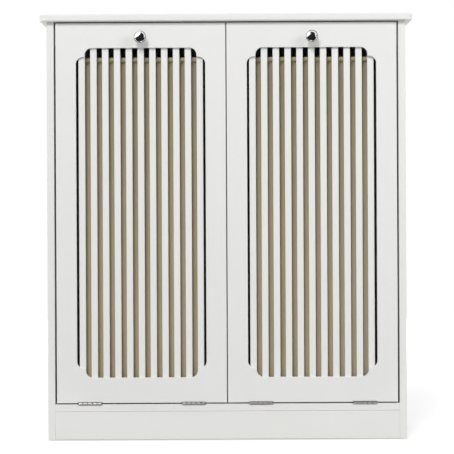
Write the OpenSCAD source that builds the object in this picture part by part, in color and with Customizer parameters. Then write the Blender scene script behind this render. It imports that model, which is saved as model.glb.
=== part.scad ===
// Two-bay laundry cabinet. Each bay has a tilt-out door with a slatted grille,
// and the door carries a fabric bag on two rods between a pair of side arms.
// X runs to the right, Y to the rear and Z up. The origin lies on the floor,
// under the middle of the cabinet's overall box.

/* [Cabinet] */
// Width of the top board, the widest piece
cabinet_w = 786; // [720:1:900]
// Depth of the top board
cabinet_d = 350; // [335:5:420]
// Height from the floor to the top face
cabinet_h = 900; // [860:5:980]
// Thickness of the carcass boards
board_t = 15; // [15:0.5:18]
// Thickness of the back panels
back_t = 3; // [3:0.5:4]
// Distance of the back panels from the rear edges
back_inset = 8; // [5:0.5:14]
// Depth of the grooves that hold the back panels
groove_d = 5; // [3:0.5:6]
// Height of the plinth boards
plinth_h = 59; // [45:1:90]
// Gap under the plinth boards, above the glides' top
plinth_lift = 1; // [0.5:0.5:4]
// Setback of the plinth boards from the front and rear edges
plinth_setback = 1; // [0.5:0.5:10]
// Height of the rails behind the doors' top edge
rail_h = 49; // [40:1:60]
// Height of the plastic glides under the side panels
glide_h = 2; // [1.5:0.5:5]
// Diameter of the glides
glide_d = 14; // [10:0.5:14.5]

/* [Top board] */
// Thickness of the top board
top_t = 15; // [13:1:25]
// Overhang of the top board on each side
top_side = 14; // [5:1:25]
// Overhang of the top board at the front
top_front = 12; // [5:1:24]
// Radius of the two front corners seen from above
top_corner_r = 16; // [8:1:30]
// Radius of the eased edges
top_edge_r = 3; // [1:0.5:6]

/* [Doors] */
// Thickness of a door
door_t = 15; // [15:0.5:18]
// Gap between a door and its side panel
side_gap = 3.8; // [2:0.1:5]
// Gap between the two doors
centre_gap = 2.2; // [2:0.1:5]
// Gap between a door and the top board
top_gap = 2.6; // [2.5:0.1:5]
// Space between a closed door and the rail behind it
rail_gap = 4; // [3.8:0.1:6]
// Angle to which a door tilts out
open_angle = 38; // [25:1:42]

/* [Door opening] */
// Solid band above the opening
band_top = 52.6; // [48:0.1:62]
// Solid band below the opening
band_bottom = 53.3; // [46:0.1:70]
// Height of the step at the opening's corners
step_h = 19; // [16:0.5:30]
// Radius of the opening's corners
opening_r = 15; // [6:0.5:15.5]
// Width of the narrow gap beside the outermost slats
sliver_w = 5; // [3:0.5:8]
// Thickness of the door's front lip around the grille
lip_t = 6; // [5:0.5:7]

/* [Grille] */
// Least width of the door board beside the opening, which sets the number of slots
stile_min = 40; // [40:1:60]
// Width of a slat
slat_w = 13.5; // [10:0.1:13.6]
// Width of a slot
slot_w = 11.5; // [9:0.1:11.6]
// Length of each slot's ends that the lip covers
slot_over = 4; // [2:0.5:8]
// Solid border beside the outer slots
border_side = 8; // [7:0.5:9]
// Solid border above and below the slots
border_end = 10; // [8:0.5:14]

/* [Hinges] */
// Length of a hinge
hinge_l = 50; // [35:1:65]
// Distance between the centres of a door's two hinges
hinge_spread = 219; // [140:1:260]
// Outer diameter of the hinge knuckles
barrel_d = 6; // [5:0.1:7]
// Diameter of the hinge pin
hinge_pin_d = 3; // [2:0.1:3.4]
// Thickness of a hinge leaf
leaf_t = 1.2; // [1:0.1:1.6]
// Gap between the two closed leaves
leaf_play = 0.4; // [0.3:0.1:0.8]
// Depth of a leaf, from the hinge line to its rear edge
leaf_d = 13.5; // [12:0.5:15]
// Distance of the hinge line in front of the doors
hinge_proud = 0.5; // [0:0.1:1]
// Number of knuckles of a hinge
knuckle_count = 5; // [3:2:7]
// Distance of the hinge screws from the leaf's ends
hinge_screw_inset = 10; // [7:0.5:12]
// Distance of the hinge screws behind the front faces
hinge_screw_setback = 8; // [7:0.5:9]

/* [Knobs] */
// Diameter of a knob
knob_d = 26; // [20:0.5:34]
// Distance that a knob stands out from the door
knob_l = 25; // [21:0.5:34]
// Diameter of the knob's neck
knob_neck_d = 9.2; // [7:0.1:12]
// Distance of the knob below the door's top edge
knob_drop = 31.4; // [24:0.1:34]
// Diameter of the knob's screw
knob_screw_d = 4; // [3:0.5:5]

/* [Stays] */
// Radius of the curved stay, from the hinge line
stay_r = 260; // [210:5:300]
// Width of the stay's strip
stay_w = 18; // [14:0.5:22]
// Thickness of the stay's strip
stay_t = 2; // [1.5:0.1:3]
// Space between the stay and the side panel
stay_space = 5; // [3.6:0.1:5.5]
// Angle of the stud behind the hinge line's upright
stud_angle = 7; // [6.5:0.5:10]
// Diameter of the stud's shoulder
stud_d = 5.8; // [4:0.1:7]

/* [Bags] */
// Distance that a bag reaches beyond each side of the opening's narrow part
bag_over = 6.75; // [3:0.25:14]
// Distance between the front and the rear rod
rod_spread = 225; // [170:5:232]
// Distance of the front rod's centre below the rails' lower edge
rod_below_rail = 29.6; // [29:0.2:80]
// Drop from the front rod to the rear rod
rod_drop = 38; // [34:1:70]
// Diameter of a rod
rod_d = 8; // [6:0.5:10]
// Distance of the front rod's centre behind the door
rod_setback = 10; // [9:0.5:14]
// Diameter of the hem tunnels
hem_d = 11; // [11:0.5:13]
// Thickness of the bag's cloth wall
cloth_t = 2; // [1.5:0.1:3]
// Gap between the bag's base and the bottom board
bag_lift = 25; // [15:1:60]
// Radius of the bag's lower corners
bag_r = 11; // [6:0.5:35]

/* [Bag arms] */
// Gap between the grille's edge and the inner face of an arm, seen from the front
arm_gap = 0.75; // [0.5:0.05:1.5]
// Thickness of an arm
arm_t = 12; // [12:0.5:13]
// Height of an arm where it meets the door
arm_h = 251; // [200:1:300]
// Height of an arm at its rear end
arm_end_h = 38; // [30:1:60]
// Length of an arm beyond the rear rod
arm_over = 12; // [10:0.5:14]
// Height of an arm above the rod's centre
arm_lip = 8; // [6:0.5:9]
// Height of the lower brackets above the arms' lower end
bracket_rise = 40; // [25:1:60]
// Distance of the upper brackets below the front rod
bracket_drop = 25; // [20:1:50]

/* [Fittings] */
// Diameter of the small countersunk screws
screw_d = 3; // [2.5:0.1:3.2]
// Diameter of their heads
screw_head_d = 5.6; // [5:0.1:6]
// Diameter of the cam locks
cam_d = 14.8; // [12:0.1:15]
// Height of the cam locks
cam_h = 12.3; // [9:0.1:12.5]
// Distance from a board's end to the cam's centre
cam_reach = 24; // [20:0.5:30]
// Distance of the cam fittings from the front and rear edges
cam_inset = 60; // [45:1:75]
// Height of the rails' cams above the rail's lower edge
rail_cam_rise = 15; // [10:0.5:18]
// Distance of the plinth's cams and dowels from the plinth's middle height
plinth_offset = 12; // [10:0.5:14]
// Diameter of the wooden dowels
dowel_d = 8; // [6:0.5:8]
// Distance of the dowels from the front and rear edges
dowel_inset = 95; // [85:1:125]
// Distance of the rails' dowels below the top board
rail_dowel_drop = 13; // [8:0.5:15]
// Distance of the glides from the front and rear edges
glide_inset = 25; // [10:1:60]
// Diameter of the magnet's body
magnet_d = 10; // [8:0.5:12]
// Distance of the catch from a door's centre line, towards the middle
catch_offset = 45; // [30:1:110]
// Distance of the catch below the top board
catch_drop = 25; // [18:0.5:28]
// Diameter of the strike plate on the door
strike_d = 14; // [12:0.5:18]
// Diameter of the door bumpers
bumper_d = 8; // [6:0.5:12]
// Distance of the bumpers from the door's side edges
bumper_inset = 30.25; // [20:0.25:60]
// Distance of the bumpers below the door's top edge
bumper_drop = 14; // [8:0.5:20]

/* [Fits] */
// Radial clearance of pins, screws and dowels in their holes
pin_fit = 0.05; // [0.02:0.01:0.1]
// Clearance of a loosely seated piece
seat_gap = 0.3; // [0.2:0.05:0.4]

/* [Hidden] */
$fn = 48;
// Overlap of a cut beyond the face that it leaves
cut = 1;

// Levels, from the floor up
plinth_z = glide_h + plinth_lift;
bottom_z = plinth_z + plinth_h;
floor_z = bottom_z + board_t;
hinge_z = floor_z + leaf_t + leaf_play / 2;
door_z = floor_z + 2 * leaf_t + leaf_play;
top_z = cabinet_h - top_t;
door_top_z = top_z - top_gap;
door_h = door_top_z - door_z;
rail_z = top_z - rail_h;

// Planes, from the front to the rear
carcass_d = cabinet_d - top_front;
front_y = (max(knob_l, top_front) - carcass_d) / 2;
rear_y = front_y + carcass_d;
hinge_y = front_y - hinge_proud;
door_back_y = front_y + door_t;
rail_y = door_back_y + rail_gap;
back_y = rear_y - back_inset;

// Widths, from the middle outwards
side_out = cabinet_w / 2 - top_side;
side_in = side_out - board_t;
side_mid = side_out - board_t / 2;
divider_x = board_t / 2;
door_w = side_in - side_gap - centre_gap / 2;
door_x = centre_gap / 2 + door_w / 2;

// Door opening and grille
pitch = slat_w + slot_w;
slot_count = floor((door_w - 2 * stile_min + slot_w - 2 * sliver_w) / pitch) + 1;
grille_t = door_t - lip_t;
open_z0 = door_z + band_bottom;
open_z1 = door_top_z - band_top;
open_core_w = (slot_count - 3) * pitch + slot_w;
open_full_w = (slot_count - 1) * pitch - slot_w + 2 * sliver_w;
slot_z0 = open_z0 - slot_over;
slot_z1 = open_z1 + slot_over;
grille_w = (slot_count - 1) * pitch + slot_w + 2 * border_side;
grille_z0 = slot_z0 - border_end;
grille_z1 = slot_z1 + border_end;
grille_screw_x = grille_w / 2 - border_side / 2;
grille_screw_zs = [for (k = [1:3]) grille_z0 + (grille_z1 - grille_z0) * k / 4];
lip_skin = 2;
grille_screw_l = door_t - lip_skin;

// Hinges
hinge_xs = [door_x - hinge_spread / 2, door_x + hinge_spread / 2];
knuckle_l = hinge_l / knuckle_count;
hinge_screw_xs = [for (x = hinge_xs, k = [-1, 1]) x + k * (hinge_l / 2 - hinge_screw_inset)];
hinge_screw_y = front_y + hinge_screw_setback;
hinge_screw_l = 13;
notch_play = 0.6;

// Knob, catch and bumpers
knob_z = door_top_z - knob_drop;
knob_rim_part = 0.76;
knob_rim_t = 1.3;
knob_bevel = 0.5;
knob_foot = 1.6;
knob_flare = 2.2;
knob_thread_l = 10;
knob_head_h = 2.4;
catch_x = door_x - catch_offset;
catch_z = top_z - catch_drop;
strike_t = 1.5;
magnet_l = 13;
magnet_flange_t = rail_gap - strike_t - seat_gap;
magnet_rim = 1;
bumper_xs = [for (k = [-1, 1]) door_x + k * (door_w / 2 - bumper_inset)];
bumper_z = door_top_z - bumper_drop;

// Stay
stay_x = side_in - stay_space - stay_t;
stay_flange_w = 14;
stay_flange_h = 60;
stay_flange_z = hinge_z + stay_r;
stay_screw_spread = 40;
stud_y = hinge_y + stay_r * sin(stud_angle);
stud_z = hinge_z + stay_r * cos(stud_angle);
stud_thread_d = 4;
stud_thread_l = 12;
stud_head_t = 2.5;
stud_bevel = 1;
end_play = asin(seat_gap / stay_r);
slot_from = stud_angle - end_play;
slot_to = stud_angle + open_angle + end_play;

// Rods, bag and arms
rod_y0 = door_back_y + rod_setback;
rod_z0 = rail_z - rod_below_rail;
rod_y1 = rod_y0 + rod_spread;
rod_z1 = rod_z0 - rod_drop;
rods = [[rod_y0, rod_z0], [rod_y1, rod_z1]];
arm_in = grille_w / 2 + arm_gap;
arm_out = arm_in + arm_t;
rod_cap_t = 2.5;
rod_cap_d = rod_d + 2 * rod_cap_t;
bag_w = open_core_w + 2 * bag_over;
bag_z = floor_z + bag_lift;
wall_tuck = 0.6;
seam = 0.1;
bag_y0 = rod_y0 - hem_d / 2 + wall_tuck;
bag_y1 = rod_y1 + hem_d / 2 - wall_tuck;
bracket_h = 24;
bracket_t = 2;
bracket_leg = 12;
bracket_arm_leg = 16;
arm_z = rod_z0 + arm_lip - arm_h;
bracket_zs = [arm_z + bracket_rise, rod_z0 - bracket_drop];
short_screw_l = 12;
arm_screw_l = 11;

// Knock-down joinery: where the cams and dowels stand along the depth
fit_ys = [front_y + cam_inset, rear_y - cam_inset];
dowel_ys = [front_y + dowel_inset, rear_y - dowel_inset];
bolt_thread_l = 7;
bolt_thread_d = 6;
bolt_stem_d = 4.4;
bolt_hole_d = 7;
bolt_neck_l = 2;
bolt_tip_l = 3;
bolt_bevel = 1;
cam_recess = 0.2;
cam_cross_l = 7;
cam_cross_w = 1.4;
cam_cross_depth = 1.5;
dowel_short = 9.5;
dowel_long = 19.5;
dowel_end_play = 0.5;
rail_mid_y = rail_y + board_t / 2;
plinth_mid_ys = [front_y + plinth_setback + board_t / 2,
                 rear_y - plinth_setback - board_t / 2];
plinth_mid_z = plinth_z + plinth_h / 2;

// Each cam fitting is [point where two boards meet, way into the board with
// the cam, way out of the face that the cam is set in]
side_top_fits = [for (s = [-1, 1], y = fit_ys) [[s * side_mid, y, top_z], [0, 0, -1], [-s, 0, 0]]];
side_foot_fits = [for (s = [-1, 1], y = fit_ys)
    [[s * side_in, y, bottom_z + board_t / 2], [-s, 0, 0], [0, 0, -1]]];
divider_top_fits = [for (y = fit_ys) [[0, y, top_z], [0, 0, -1], [-1, 0, 0]]];
divider_foot_fits = [for (y = fit_ys) [[0, y, floor_z], [0, 0, 1], [-1, 0, 0]]];
rail_side_fits = [for (s = [-1, 1])
    [[s * side_in, rail_mid_y, rail_z + rail_cam_rise], [-s, 0, 0], [0, 1, 0]]];
rail_divider_fits = [for (s = [-1, 1])
    [[s * divider_x, rail_mid_y, rail_z + rail_cam_rise], [s, 0, 0], [0, 1, 0]]];
plinth_fits = [for (s = [-1, 1], k = [0, 1])
    [[s * side_in, plinth_mid_ys[k], plinth_mid_z - plinth_offset], [-s, 0, 0], [0, k == 0 ? 1 : -1, 0]]];
all_fits = concat(side_top_fits, side_foot_fits, divider_top_fits, divider_foot_fits,
                  rail_side_fits, rail_divider_fits, plinth_fits);

// Each dowel is [point where two boards meet, way into the board's end]
side_top_dowels = [for (s = [-1, 1], y = dowel_ys) [[s * side_mid, y, top_z], [0, 0, -1]]];
side_foot_dowels = [for (s = [-1, 1], y = dowel_ys)
    [[s * side_in, y, bottom_z + board_t / 2], [-s, 0, 0]]];
divider_dowels = [for (y = dowel_ys, k = [0, 1])
    [[0, y, k == 0 ? floor_z : top_z], [0, 0, k == 0 ? 1 : -1]]];
rail_dowels = [for (s = [-1, 1]) [[s * side_in, rail_mid_y, top_z - rail_dowel_drop], [-s, 0, 0]]];
plinth_dowels = [for (s = [-1, 1], y = plinth_mid_ys)
    [[s * side_in, y, plinth_mid_z + plinth_offset], [-s, 0, 0]]];
all_dowels = concat(side_top_dowels, side_foot_dowels, divider_dowels, rail_dowels, plinth_dowels);

glide_ys = [front_y + glide_inset, rear_y - glide_inset];
glide_pin_d = 2.5;
glide_pin_l = 12;

white = [0.93, 0.93, 0.92];
grey_steel = [0.72, 0.73, 0.74];
dark_steel = [0.12, 0.12, 0.13];
khaki = [0.52, 0.47, 0.36];
beech = [0.80, 0.66, 0.46];

// Draws its children on the left, where everything mirrors the right
module left() mirror([1, 0, 0]) children();

module both() {
    children();
    left() children();
}

// A board between two opposite corners
module board(low, high) translate(low) cube(high - low);

// Turns +Z to the way d and +X to the way n, and moves the origin to p
module along(p, d, n) {
    c = cross(d, n);
    multmatrix([[n[0], c[0], d[0], p[0]],
                [n[1], c[1], d[1], p[1]],
                [n[2], c[2], d[2], p[2]],
                [0, 0, 0, 1]]) children();
}

// A cylinder from p along X, Y or Z
module round_x(p, d, l) translate(p) rotate([0, 90, 0]) cylinder(d = d, h = l);
module round_y(p, d, l) translate(p) rotate([-90, 0, 0]) cylinder(d = d, h = l);
module round_z(p, d, l) translate(p) cylinder(d = d, h = l);

// Extrudes an outline drawn in X and Z from y0 back to y1
module upright(y0, y1) translate([0, y1, 0]) rotate([90, 0, 0]) linear_extrude(y1 - y0) children();

// Extrudes an outline drawn in Y and Z from x0 out to x1
module sideways(x0, x1) translate([x0, 0, 0]) rotate([90, 0, 90]) linear_extrude(x1 - x0) children();

// A countersunk screw from its head's face along +Z, or its hole when grown
module flat_screw(l, grow = 0) {
    r = screw_d / 2;
    head_r = screw_head_d / 2;
    rotate_extrude() polygon([[0, -grow], [head_r + grow, -grow], [head_r + grow, 0],
                              [r + grow, head_r - r], [r + grow, l - r], [0, l + grow]]);
}

// Cam lock joinery
module cam_bolt() {
    rotate_extrude() polygon([
        [0, -bolt_thread_l], [bolt_thread_d / 2, -bolt_thread_l], [bolt_thread_d / 2, 0],
        [bolt_stem_d / 2, 0], [bolt_stem_d / 2, cam_reach - bolt_neck_l],
        [bolt_thread_d / 2, cam_reach - bolt_neck_l + bolt_bevel],
        [bolt_thread_d / 2, cam_reach + bolt_tip_l - bolt_bevel], [0, cam_reach + bolt_tip_l]]);
}

module cam_lock() {
    face = board_t / 2 - cam_recess;
    difference() {
        round_x([face - cam_h, 0, cam_reach], cam_d, cam_h);
        round_z([0, 0, 0], bolt_hole_d, cam_reach + bolt_tip_l + seat_gap);
        for (a = [0, 90]) translate([face, 0, cam_reach]) rotate([a, 0, 0])
            cube([2 * cam_cross_depth, cam_cross_l, cam_cross_w], center = true);
    }
}

module cam_board_cut() {
    round_z([0, 0, -cut], bolt_hole_d, cam_reach + cut);
    depth = cam_h + 2 * cam_recess;
    round_x([board_t / 2 - depth, 0, cam_reach], cam_d + 4 * pin_fit, depth + cut);
}

module bolt_board_cut() round_z([0, 0, -bolt_thread_l - seat_gap], bolt_thread_d + 2 * pin_fit,
                                bolt_thread_l + seat_gap + cut);

module cam_cuts(fits) for (f = fits) along(f[0], f[1], f[2]) cam_board_cut();
module bolt_cuts(fits) for (f = fits) along(f[0], f[1], f[2]) bolt_board_cut();

module dowel_cuts(list) {
    for (w = list) along(w[0], w[1], [w[1][1], w[1][2], w[1][0]])
        round_z([0, 0, -dowel_short - dowel_end_play], dowel_d + 2 * pin_fit,
                dowel_short + dowel_long + 2 * dowel_end_play);
}

module cam_locks() color(grey_steel) for (f = all_fits) along(f[0], f[1], f[2]) cam_lock();
module cam_bolts() color(grey_steel) for (f = all_fits) along(f[0], f[1], f[2]) cam_bolt();
module wood_dowels() {
    color(beech) for (w = all_dowels) along(w[0], w[1], [w[1][1], w[1][2], w[1][0]])
        round_z([0, 0, -dowel_short], dowel_d, dowel_short + dowel_long);
}

// Top board
module eased_section(reach) {
    translate([0, top_edge_r]) square([reach, top_t - 2 * top_edge_r]);
    square([reach - top_edge_r, top_t]);
    for (z = [top_edge_r, top_t - top_edge_r]) translate([reach - top_edge_r, z]) circle(top_edge_r);
}

module top_blank() {
    corner_x = cabinet_w / 2 - top_corner_r;
    corner_y = front_y - top_front + top_corner_r;
    board([-corner_x, corner_y, top_z], [corner_x, rear_y, cabinet_h]);
    translate([-corner_x, corner_y, top_z]) mirror([0, 1, 0]) rotate([90, 0, 90])
        linear_extrude(2 * corner_x) eased_section(top_corner_r);
    both() {
        translate([corner_x, rear_y, top_z]) rotate([90, 0, 0])
            linear_extrude(rear_y - corner_y) eased_section(top_corner_r);
        translate([corner_x, corner_y, top_z]) rotate_extrude() eased_section(top_corner_r);
    }
}

module top_panel() color(white) difference() {
    top_blank();
    both() back_groove();
    bolt_cuts(concat(side_top_fits, divider_top_fits));
    dowel_cuts(concat(side_top_dowels, divider_dowels));
}

// Groove round a back panel, drawn for the right bay
module back_groove() {
    board([divider_x - groove_d, back_y - back_t - seat_gap, floor_z - groove_d],
          [side_in + groove_d, back_y, top_z + groove_d]);
}

module back_panel() color(white) {
    board([divider_x - groove_d + seat_gap, back_y - back_t - seat_gap / 2, floor_z - groove_d + seat_gap],
          [side_in + groove_d - seat_gap, back_y - seat_gap / 2, top_z + groove_d - seat_gap]);
}

// Side panels, divider and bottom board
module side_panel() color(white) difference() {
    board([side_in, front_y, glide_h], [side_out, rear_y, top_z]);
    back_groove();
    cam_cuts(side_top_fits);
    bolt_cuts(concat(side_foot_fits, rail_side_fits, plinth_fits));
    dowel_cuts(concat(side_top_dowels, side_foot_dowels, rail_dowels, plinth_dowels));
    round_x([side_in - cut, stud_y, stud_z], stud_thread_d + 2 * pin_fit, stud_thread_l + seat_gap + cut);
    for (y = glide_ys) round_z([side_mid, y, glide_h - cut], glide_pin_d + 2 * pin_fit,
                               glide_pin_l + seat_gap + cut);
}

module divider_panel() color(white) difference() {
    board([-divider_x, rail_y, floor_z], [divider_x, rear_y, top_z]);
    both() back_groove();
    cam_cuts(concat(divider_top_fits, divider_foot_fits));
    bolt_cuts(rail_divider_fits);
    dowel_cuts(divider_dowels);
}

module bottom_panel() color(white) difference() {
    board([-side_in, front_y, bottom_z], [side_in, rear_y, floor_z]);
    both() {
        back_groove();
        hinge_notches();
        cabinet_screw_shapes(pin_fit);
    }
    cam_cuts(side_foot_fits);
    bolt_cuts(divider_foot_fits);
    dowel_cuts(concat(side_foot_dowels, divider_dowels));
}

module plinth(k) color(white) difference() {
    board([-side_in, plinth_mid_ys[k] - board_t / 2, plinth_z],
          [side_in, plinth_mid_ys[k] + board_t / 2, bottom_z]);
    cam_cuts([for (f = plinth_fits) if (f[0][1] == plinth_mid_ys[k]) f]);
    dowel_cuts([for (w = plinth_dowels) if (w[0][1] == plinth_mid_ys[k]) w]);
}

module top_rail() color(white) difference() {
    board([divider_x, rail_y, rail_z], [side_in, rail_y + board_t, top_z]);
    cam_cuts(concat(rail_side_fits, rail_divider_fits));
    dowel_cuts(rail_dowels);
    round_y([catch_x, rail_y - cut, catch_z], magnet_d + 2 * pin_fit, magnet_l + seat_gap + cut);
}

module floor_glides() color("dimgray") both() for (y = glide_ys) {
    round_z([side_mid, y, 0], glide_d, glide_h);
    round_z([side_mid, y, glide_h - cut], glide_pin_d, glide_pin_l + cut);
}

// Hinges: two to a door, each with the even knuckles on the door's leaf
function knuckle_at(x, i) = x - hinge_l / 2 + i * knuckle_l;

module knuckles(x, first, d, grow) {
    for (i = [first:2:knuckle_count - 1])
        round_x([knuckle_at(x, i) - grow, hinge_y, hinge_z], d, knuckle_l + 2 * grow);
}

module leaf(x, own, other, z) {
    play = seat_gap / 2;
    difference() {
        union() {
            board([x - hinge_l / 2 + play, hinge_y, z],
                  [x + hinge_l / 2 - play, hinge_y + leaf_d, z + leaf_t]);
            knuckles(x, own, barrel_d, -play);
        }
        knuckles(x, other, barrel_d + 2 * seat_gap, play);
        round_x([x - hinge_l / 2 - cut, hinge_y, hinge_z], hinge_pin_d + 2 * pin_fit, hinge_l + 2 * cut);
    }
}

module door_screw_shapes(grow = 0) {
    for (x = hinge_screw_xs) along([x, hinge_screw_y, hinge_z + leaf_play / 2], [0, 0, 1], [1, 0, 0])
        flat_screw(hinge_screw_l, grow);
}

module cabinet_screw_shapes(grow = 0) {
    for (x = hinge_screw_xs) along([x, hinge_screw_y, hinge_z - leaf_play / 2], [0, 0, -1], [1, 0, 0])
        flat_screw(hinge_screw_l, grow);
}

module hinge_door_leaves() color(grey_steel) difference() {
    for (x = hinge_xs) leaf(x, 1, 0, hinge_z + leaf_play / 2);
    door_screw_shapes(pin_fit);
}

module hinge_cabinet_leaves() color(grey_steel) both() difference() {
    for (x = hinge_xs) leaf(x, 0, 1, hinge_z - leaf_play / 2 - leaf_t);
    cabinet_screw_shapes(pin_fit);
}

module hinge_pins() {
    color(grey_steel) both() for (x = hinge_xs)
        round_x([x - hinge_l / 2, hinge_y, hinge_z], hinge_pin_d, hinge_l);
}

module hinge_door_screws() color(grey_steel) door_screw_shapes();
module hinge_cabinet_screws() color(grey_steel) both() cabinet_screw_shapes();

// Room for the hinge barrels in the door's and the bottom board's edges
module hinge_notches() {
    for (x = hinge_xs) round_x([x - hinge_l / 2 - 2 * notch_play, hinge_y, hinge_z],
                               barrel_d + 2 * notch_play, hinge_l + 4 * notch_play);
}

// Door: a frame board with a stepped opening, and a slatted grille let in from behind
module rounded_window(w, z0, z1) {
    r = opening_r;
    translate([door_x - w / 2 + r, z0]) square([w - 2 * r, z1 - z0]);
    translate([door_x - w / 2, z0 + r]) square([w, z1 - z0 - 2 * r]);
    for (k = [-1, 1], z = [z0 + r, z1 - r]) translate([door_x + k * (w / 2 - r), z]) circle(r);
}

module opening_outline() {
    rounded_window(open_core_w, open_z0, open_z1);
    rounded_window(open_full_w, open_z0 + step_h, open_z1 - step_h);
}

module grille_screw_shapes(grow = 0) {
    for (k = [-1, 1], z = grille_screw_zs)
        along([door_x + k * grille_screw_x, door_back_y, z], [0, -1, 0], [1, 0, 0])
            flat_screw(grille_screw_l, grow);
}

module door_frame() color(white) difference() {
    board([door_x - door_w / 2, front_y, door_z], [door_x + door_w / 2, door_back_y, door_top_z]);
    upright(front_y - cut, front_y + lip_t + cut) opening_outline();
    board([door_x - grille_w / 2 - seat_gap / 2, front_y + lip_t, grille_z0 - seat_gap / 2],
          [door_x + grille_w / 2 + seat_gap / 2, door_back_y + cut, grille_z1 + seat_gap / 2]);
    hinge_notches();
    door_screw_shapes(pin_fit);
    grille_screw_shapes(pin_fit);
    bracket_screw_shapes(pin_fit);
    stay_screw_shapes(pin_fit);
    strike_screw_shape(pin_fit);
    round_y([door_x, front_y - cut, knob_z], knob_screw_d + seat_gap, door_t + 2 * cut);
}

module door_grille() color(white) difference() {
    board([door_x - grille_w / 2, front_y + lip_t, grille_z0],
          [door_x + grille_w / 2, door_back_y, grille_z1]);
    for (i = [0:slot_count - 1]) {
        x = door_x + (i - (slot_count - 1) / 2) * pitch;
        board([x - slot_w / 2, front_y, slot_z0], [x + slot_w / 2, door_back_y + cut, slot_z1]);
    }
    grille_screw_shapes(pin_fit);
}

module grille_screws() color(grey_steel) grille_screw_shapes();

// Knob, with its axis along +Z from the door's face outwards
module knob_profile() {
    rim_h = knob_l * knob_rim_part;
    dome_h = knob_l - rim_h;
    rim = knob_d / 2;
    dome = rim - knob_bevel;
    dome_r = (dome * dome + dome_h * dome_h) / (2 * dome_h);
    neck = knob_neck_d / 2;
    under = rim_h - knob_rim_t;
    intersection() {
        translate([0, knob_l - dome_r]) circle(dome_r);
        translate([0, rim_h]) square([knob_d, dome_h]);
    }
    polygon([[0, 0], [neck + knob_foot, 0], [neck + knob_foot, knob_foot], [neck, 2 * knob_foot],
             [neck, under - 2 * knob_flare], [neck + knob_flare, under - knob_flare / 2],
             [rim - 2 * knob_bevel, under - knob_bevel], [rim, under],
             [rim, rim_h - knob_bevel / 2], [dome, rim_h], [0, rim_h]]);
}

module knob() color("silver") difference() {
    along([door_x, front_y, knob_z], [0, -1, 0], [1, 0, 0]) rotate_extrude() knob_profile();
    round_y([door_x, front_y - knob_thread_l - seat_gap, knob_z], knob_screw_d + 2 * pin_fit,
             knob_thread_l + seat_gap + cut);
}

module knob_screw() color(grey_steel) {
    along([door_x, door_back_y + knob_head_h, knob_z], [0, -1, 0], [1, 0, 0]) rotate_extrude()
        polygon([[0, 0], [knob_screw_d - knob_bevel, 0], [knob_screw_d, knob_bevel],
                 [knob_screw_d, knob_head_h], [knob_screw_d / 2, knob_head_h],
                 [knob_screw_d / 2, knob_head_h + door_t + knob_thread_l],
                 [0, knob_head_h + door_t + knob_thread_l]]);
}

// Magnetic catch in the rail, and its strike plate on the door
module catch_magnets() color(grey_steel) both() {
    round_y([catch_x, rail_y - magnet_flange_t, catch_z], magnet_d + 2 * magnet_rim, magnet_flange_t);
    round_y([catch_x, rail_y - magnet_flange_t, catch_z], magnet_d, magnet_flange_t + magnet_l);
}

module strike_screw_shape(grow = 0) {
    along([catch_x, door_back_y + strike_t, catch_z], [0, -1, 0], [1, 0, 0]) flat_screw(short_screw_l, grow);
}

module catch_strike() color(grey_steel) difference() {
    round_y([catch_x, door_back_y, catch_z], strike_d, strike_t);
    strike_screw_shape(pin_fit);
}

module catch_screw() color(grey_steel) strike_screw_shape();

module door_bumpers() {
    color("gainsboro") for (x = bumper_xs) round_y([x, door_back_y, bumper_z], bumper_d, rail_gap - seat_gap);
}

// Curved stay: its slot runs over a stud in the side panel and its end stops the door
function stay_point(a, r = stay_r) = [hinge_y + r * sin(a), hinge_z + r * cos(a)];

module arc_band(w, a0, a1) {
    far = 2 * stay_r;
    intersection() {
        difference() {
            translate([hinge_y, hinge_z]) circle(stay_r + w / 2);
            translate([hinge_y, hinge_z]) circle(stay_r - w / 2);
        }
        polygon([[hinge_y, hinge_z], stay_point(a0, far), stay_point((a0 + a1) / 2, far),
                 stay_point(a1, far)]);
    }
}

module stay_outline() {
    slot_d = stud_d + 2 * seat_gap;
    difference() {
        union() {
            arc_band(stay_w, 0, slot_to);
            translate(stay_point(slot_to)) circle(d = stay_w);
        }
        arc_band(slot_d, slot_from, slot_to);
        for (a = [slot_from, slot_to]) translate(stay_point(a)) circle(d = slot_d);
        translate([door_back_y - 2 * stay_w, stay_flange_z - 2 * stay_w]) square([2 * stay_w, 4 * stay_w]);
    }
}

module stay_screw_shapes(grow = 0) {
    for (k = [-1, 1])
        along([stay_x - (stay_flange_w - stay_t) / 2, door_back_y + stay_t,
               stay_flange_z + k * stay_screw_spread / 2],
              [0, -1, 0], [1, 0, 0]) flat_screw(short_screw_l, grow);
}

module stay_arm() color(grey_steel) difference() {
    union() {
        sideways(stay_x, stay_x + stay_t) stay_outline();
        board([stay_x + stay_t - stay_flange_w, door_back_y, stay_flange_z - stay_flange_h / 2],
              [stay_x + stay_t, door_back_y + stay_t, stay_flange_z + stay_flange_h / 2]);
    }
    stay_screw_shapes(pin_fit);
}

module stay_screws() color(grey_steel) stay_screw_shapes();

module stay_studs() {
    inner = stay_space - seat_gap;
    outer = stay_space + stay_t + seat_gap;
    color(grey_steel) both() along([side_in, stud_y, stud_z], [-1, 0, 0], [0, 1, 0]) rotate_extrude()
        polygon([[0, -stud_thread_l], [stud_thread_d / 2, -stud_thread_l], [stud_thread_d / 2, 0],
                 [stud_d, 0], [stud_d, inner], [stud_d / 2, inner], [stud_d / 2, outer],
                 [stud_d, outer], [stud_d, outer + stud_head_t - stud_bevel],
                 [stud_d - stud_bevel, outer + stud_head_t], [0, outer + stud_head_t]]);
}

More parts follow.
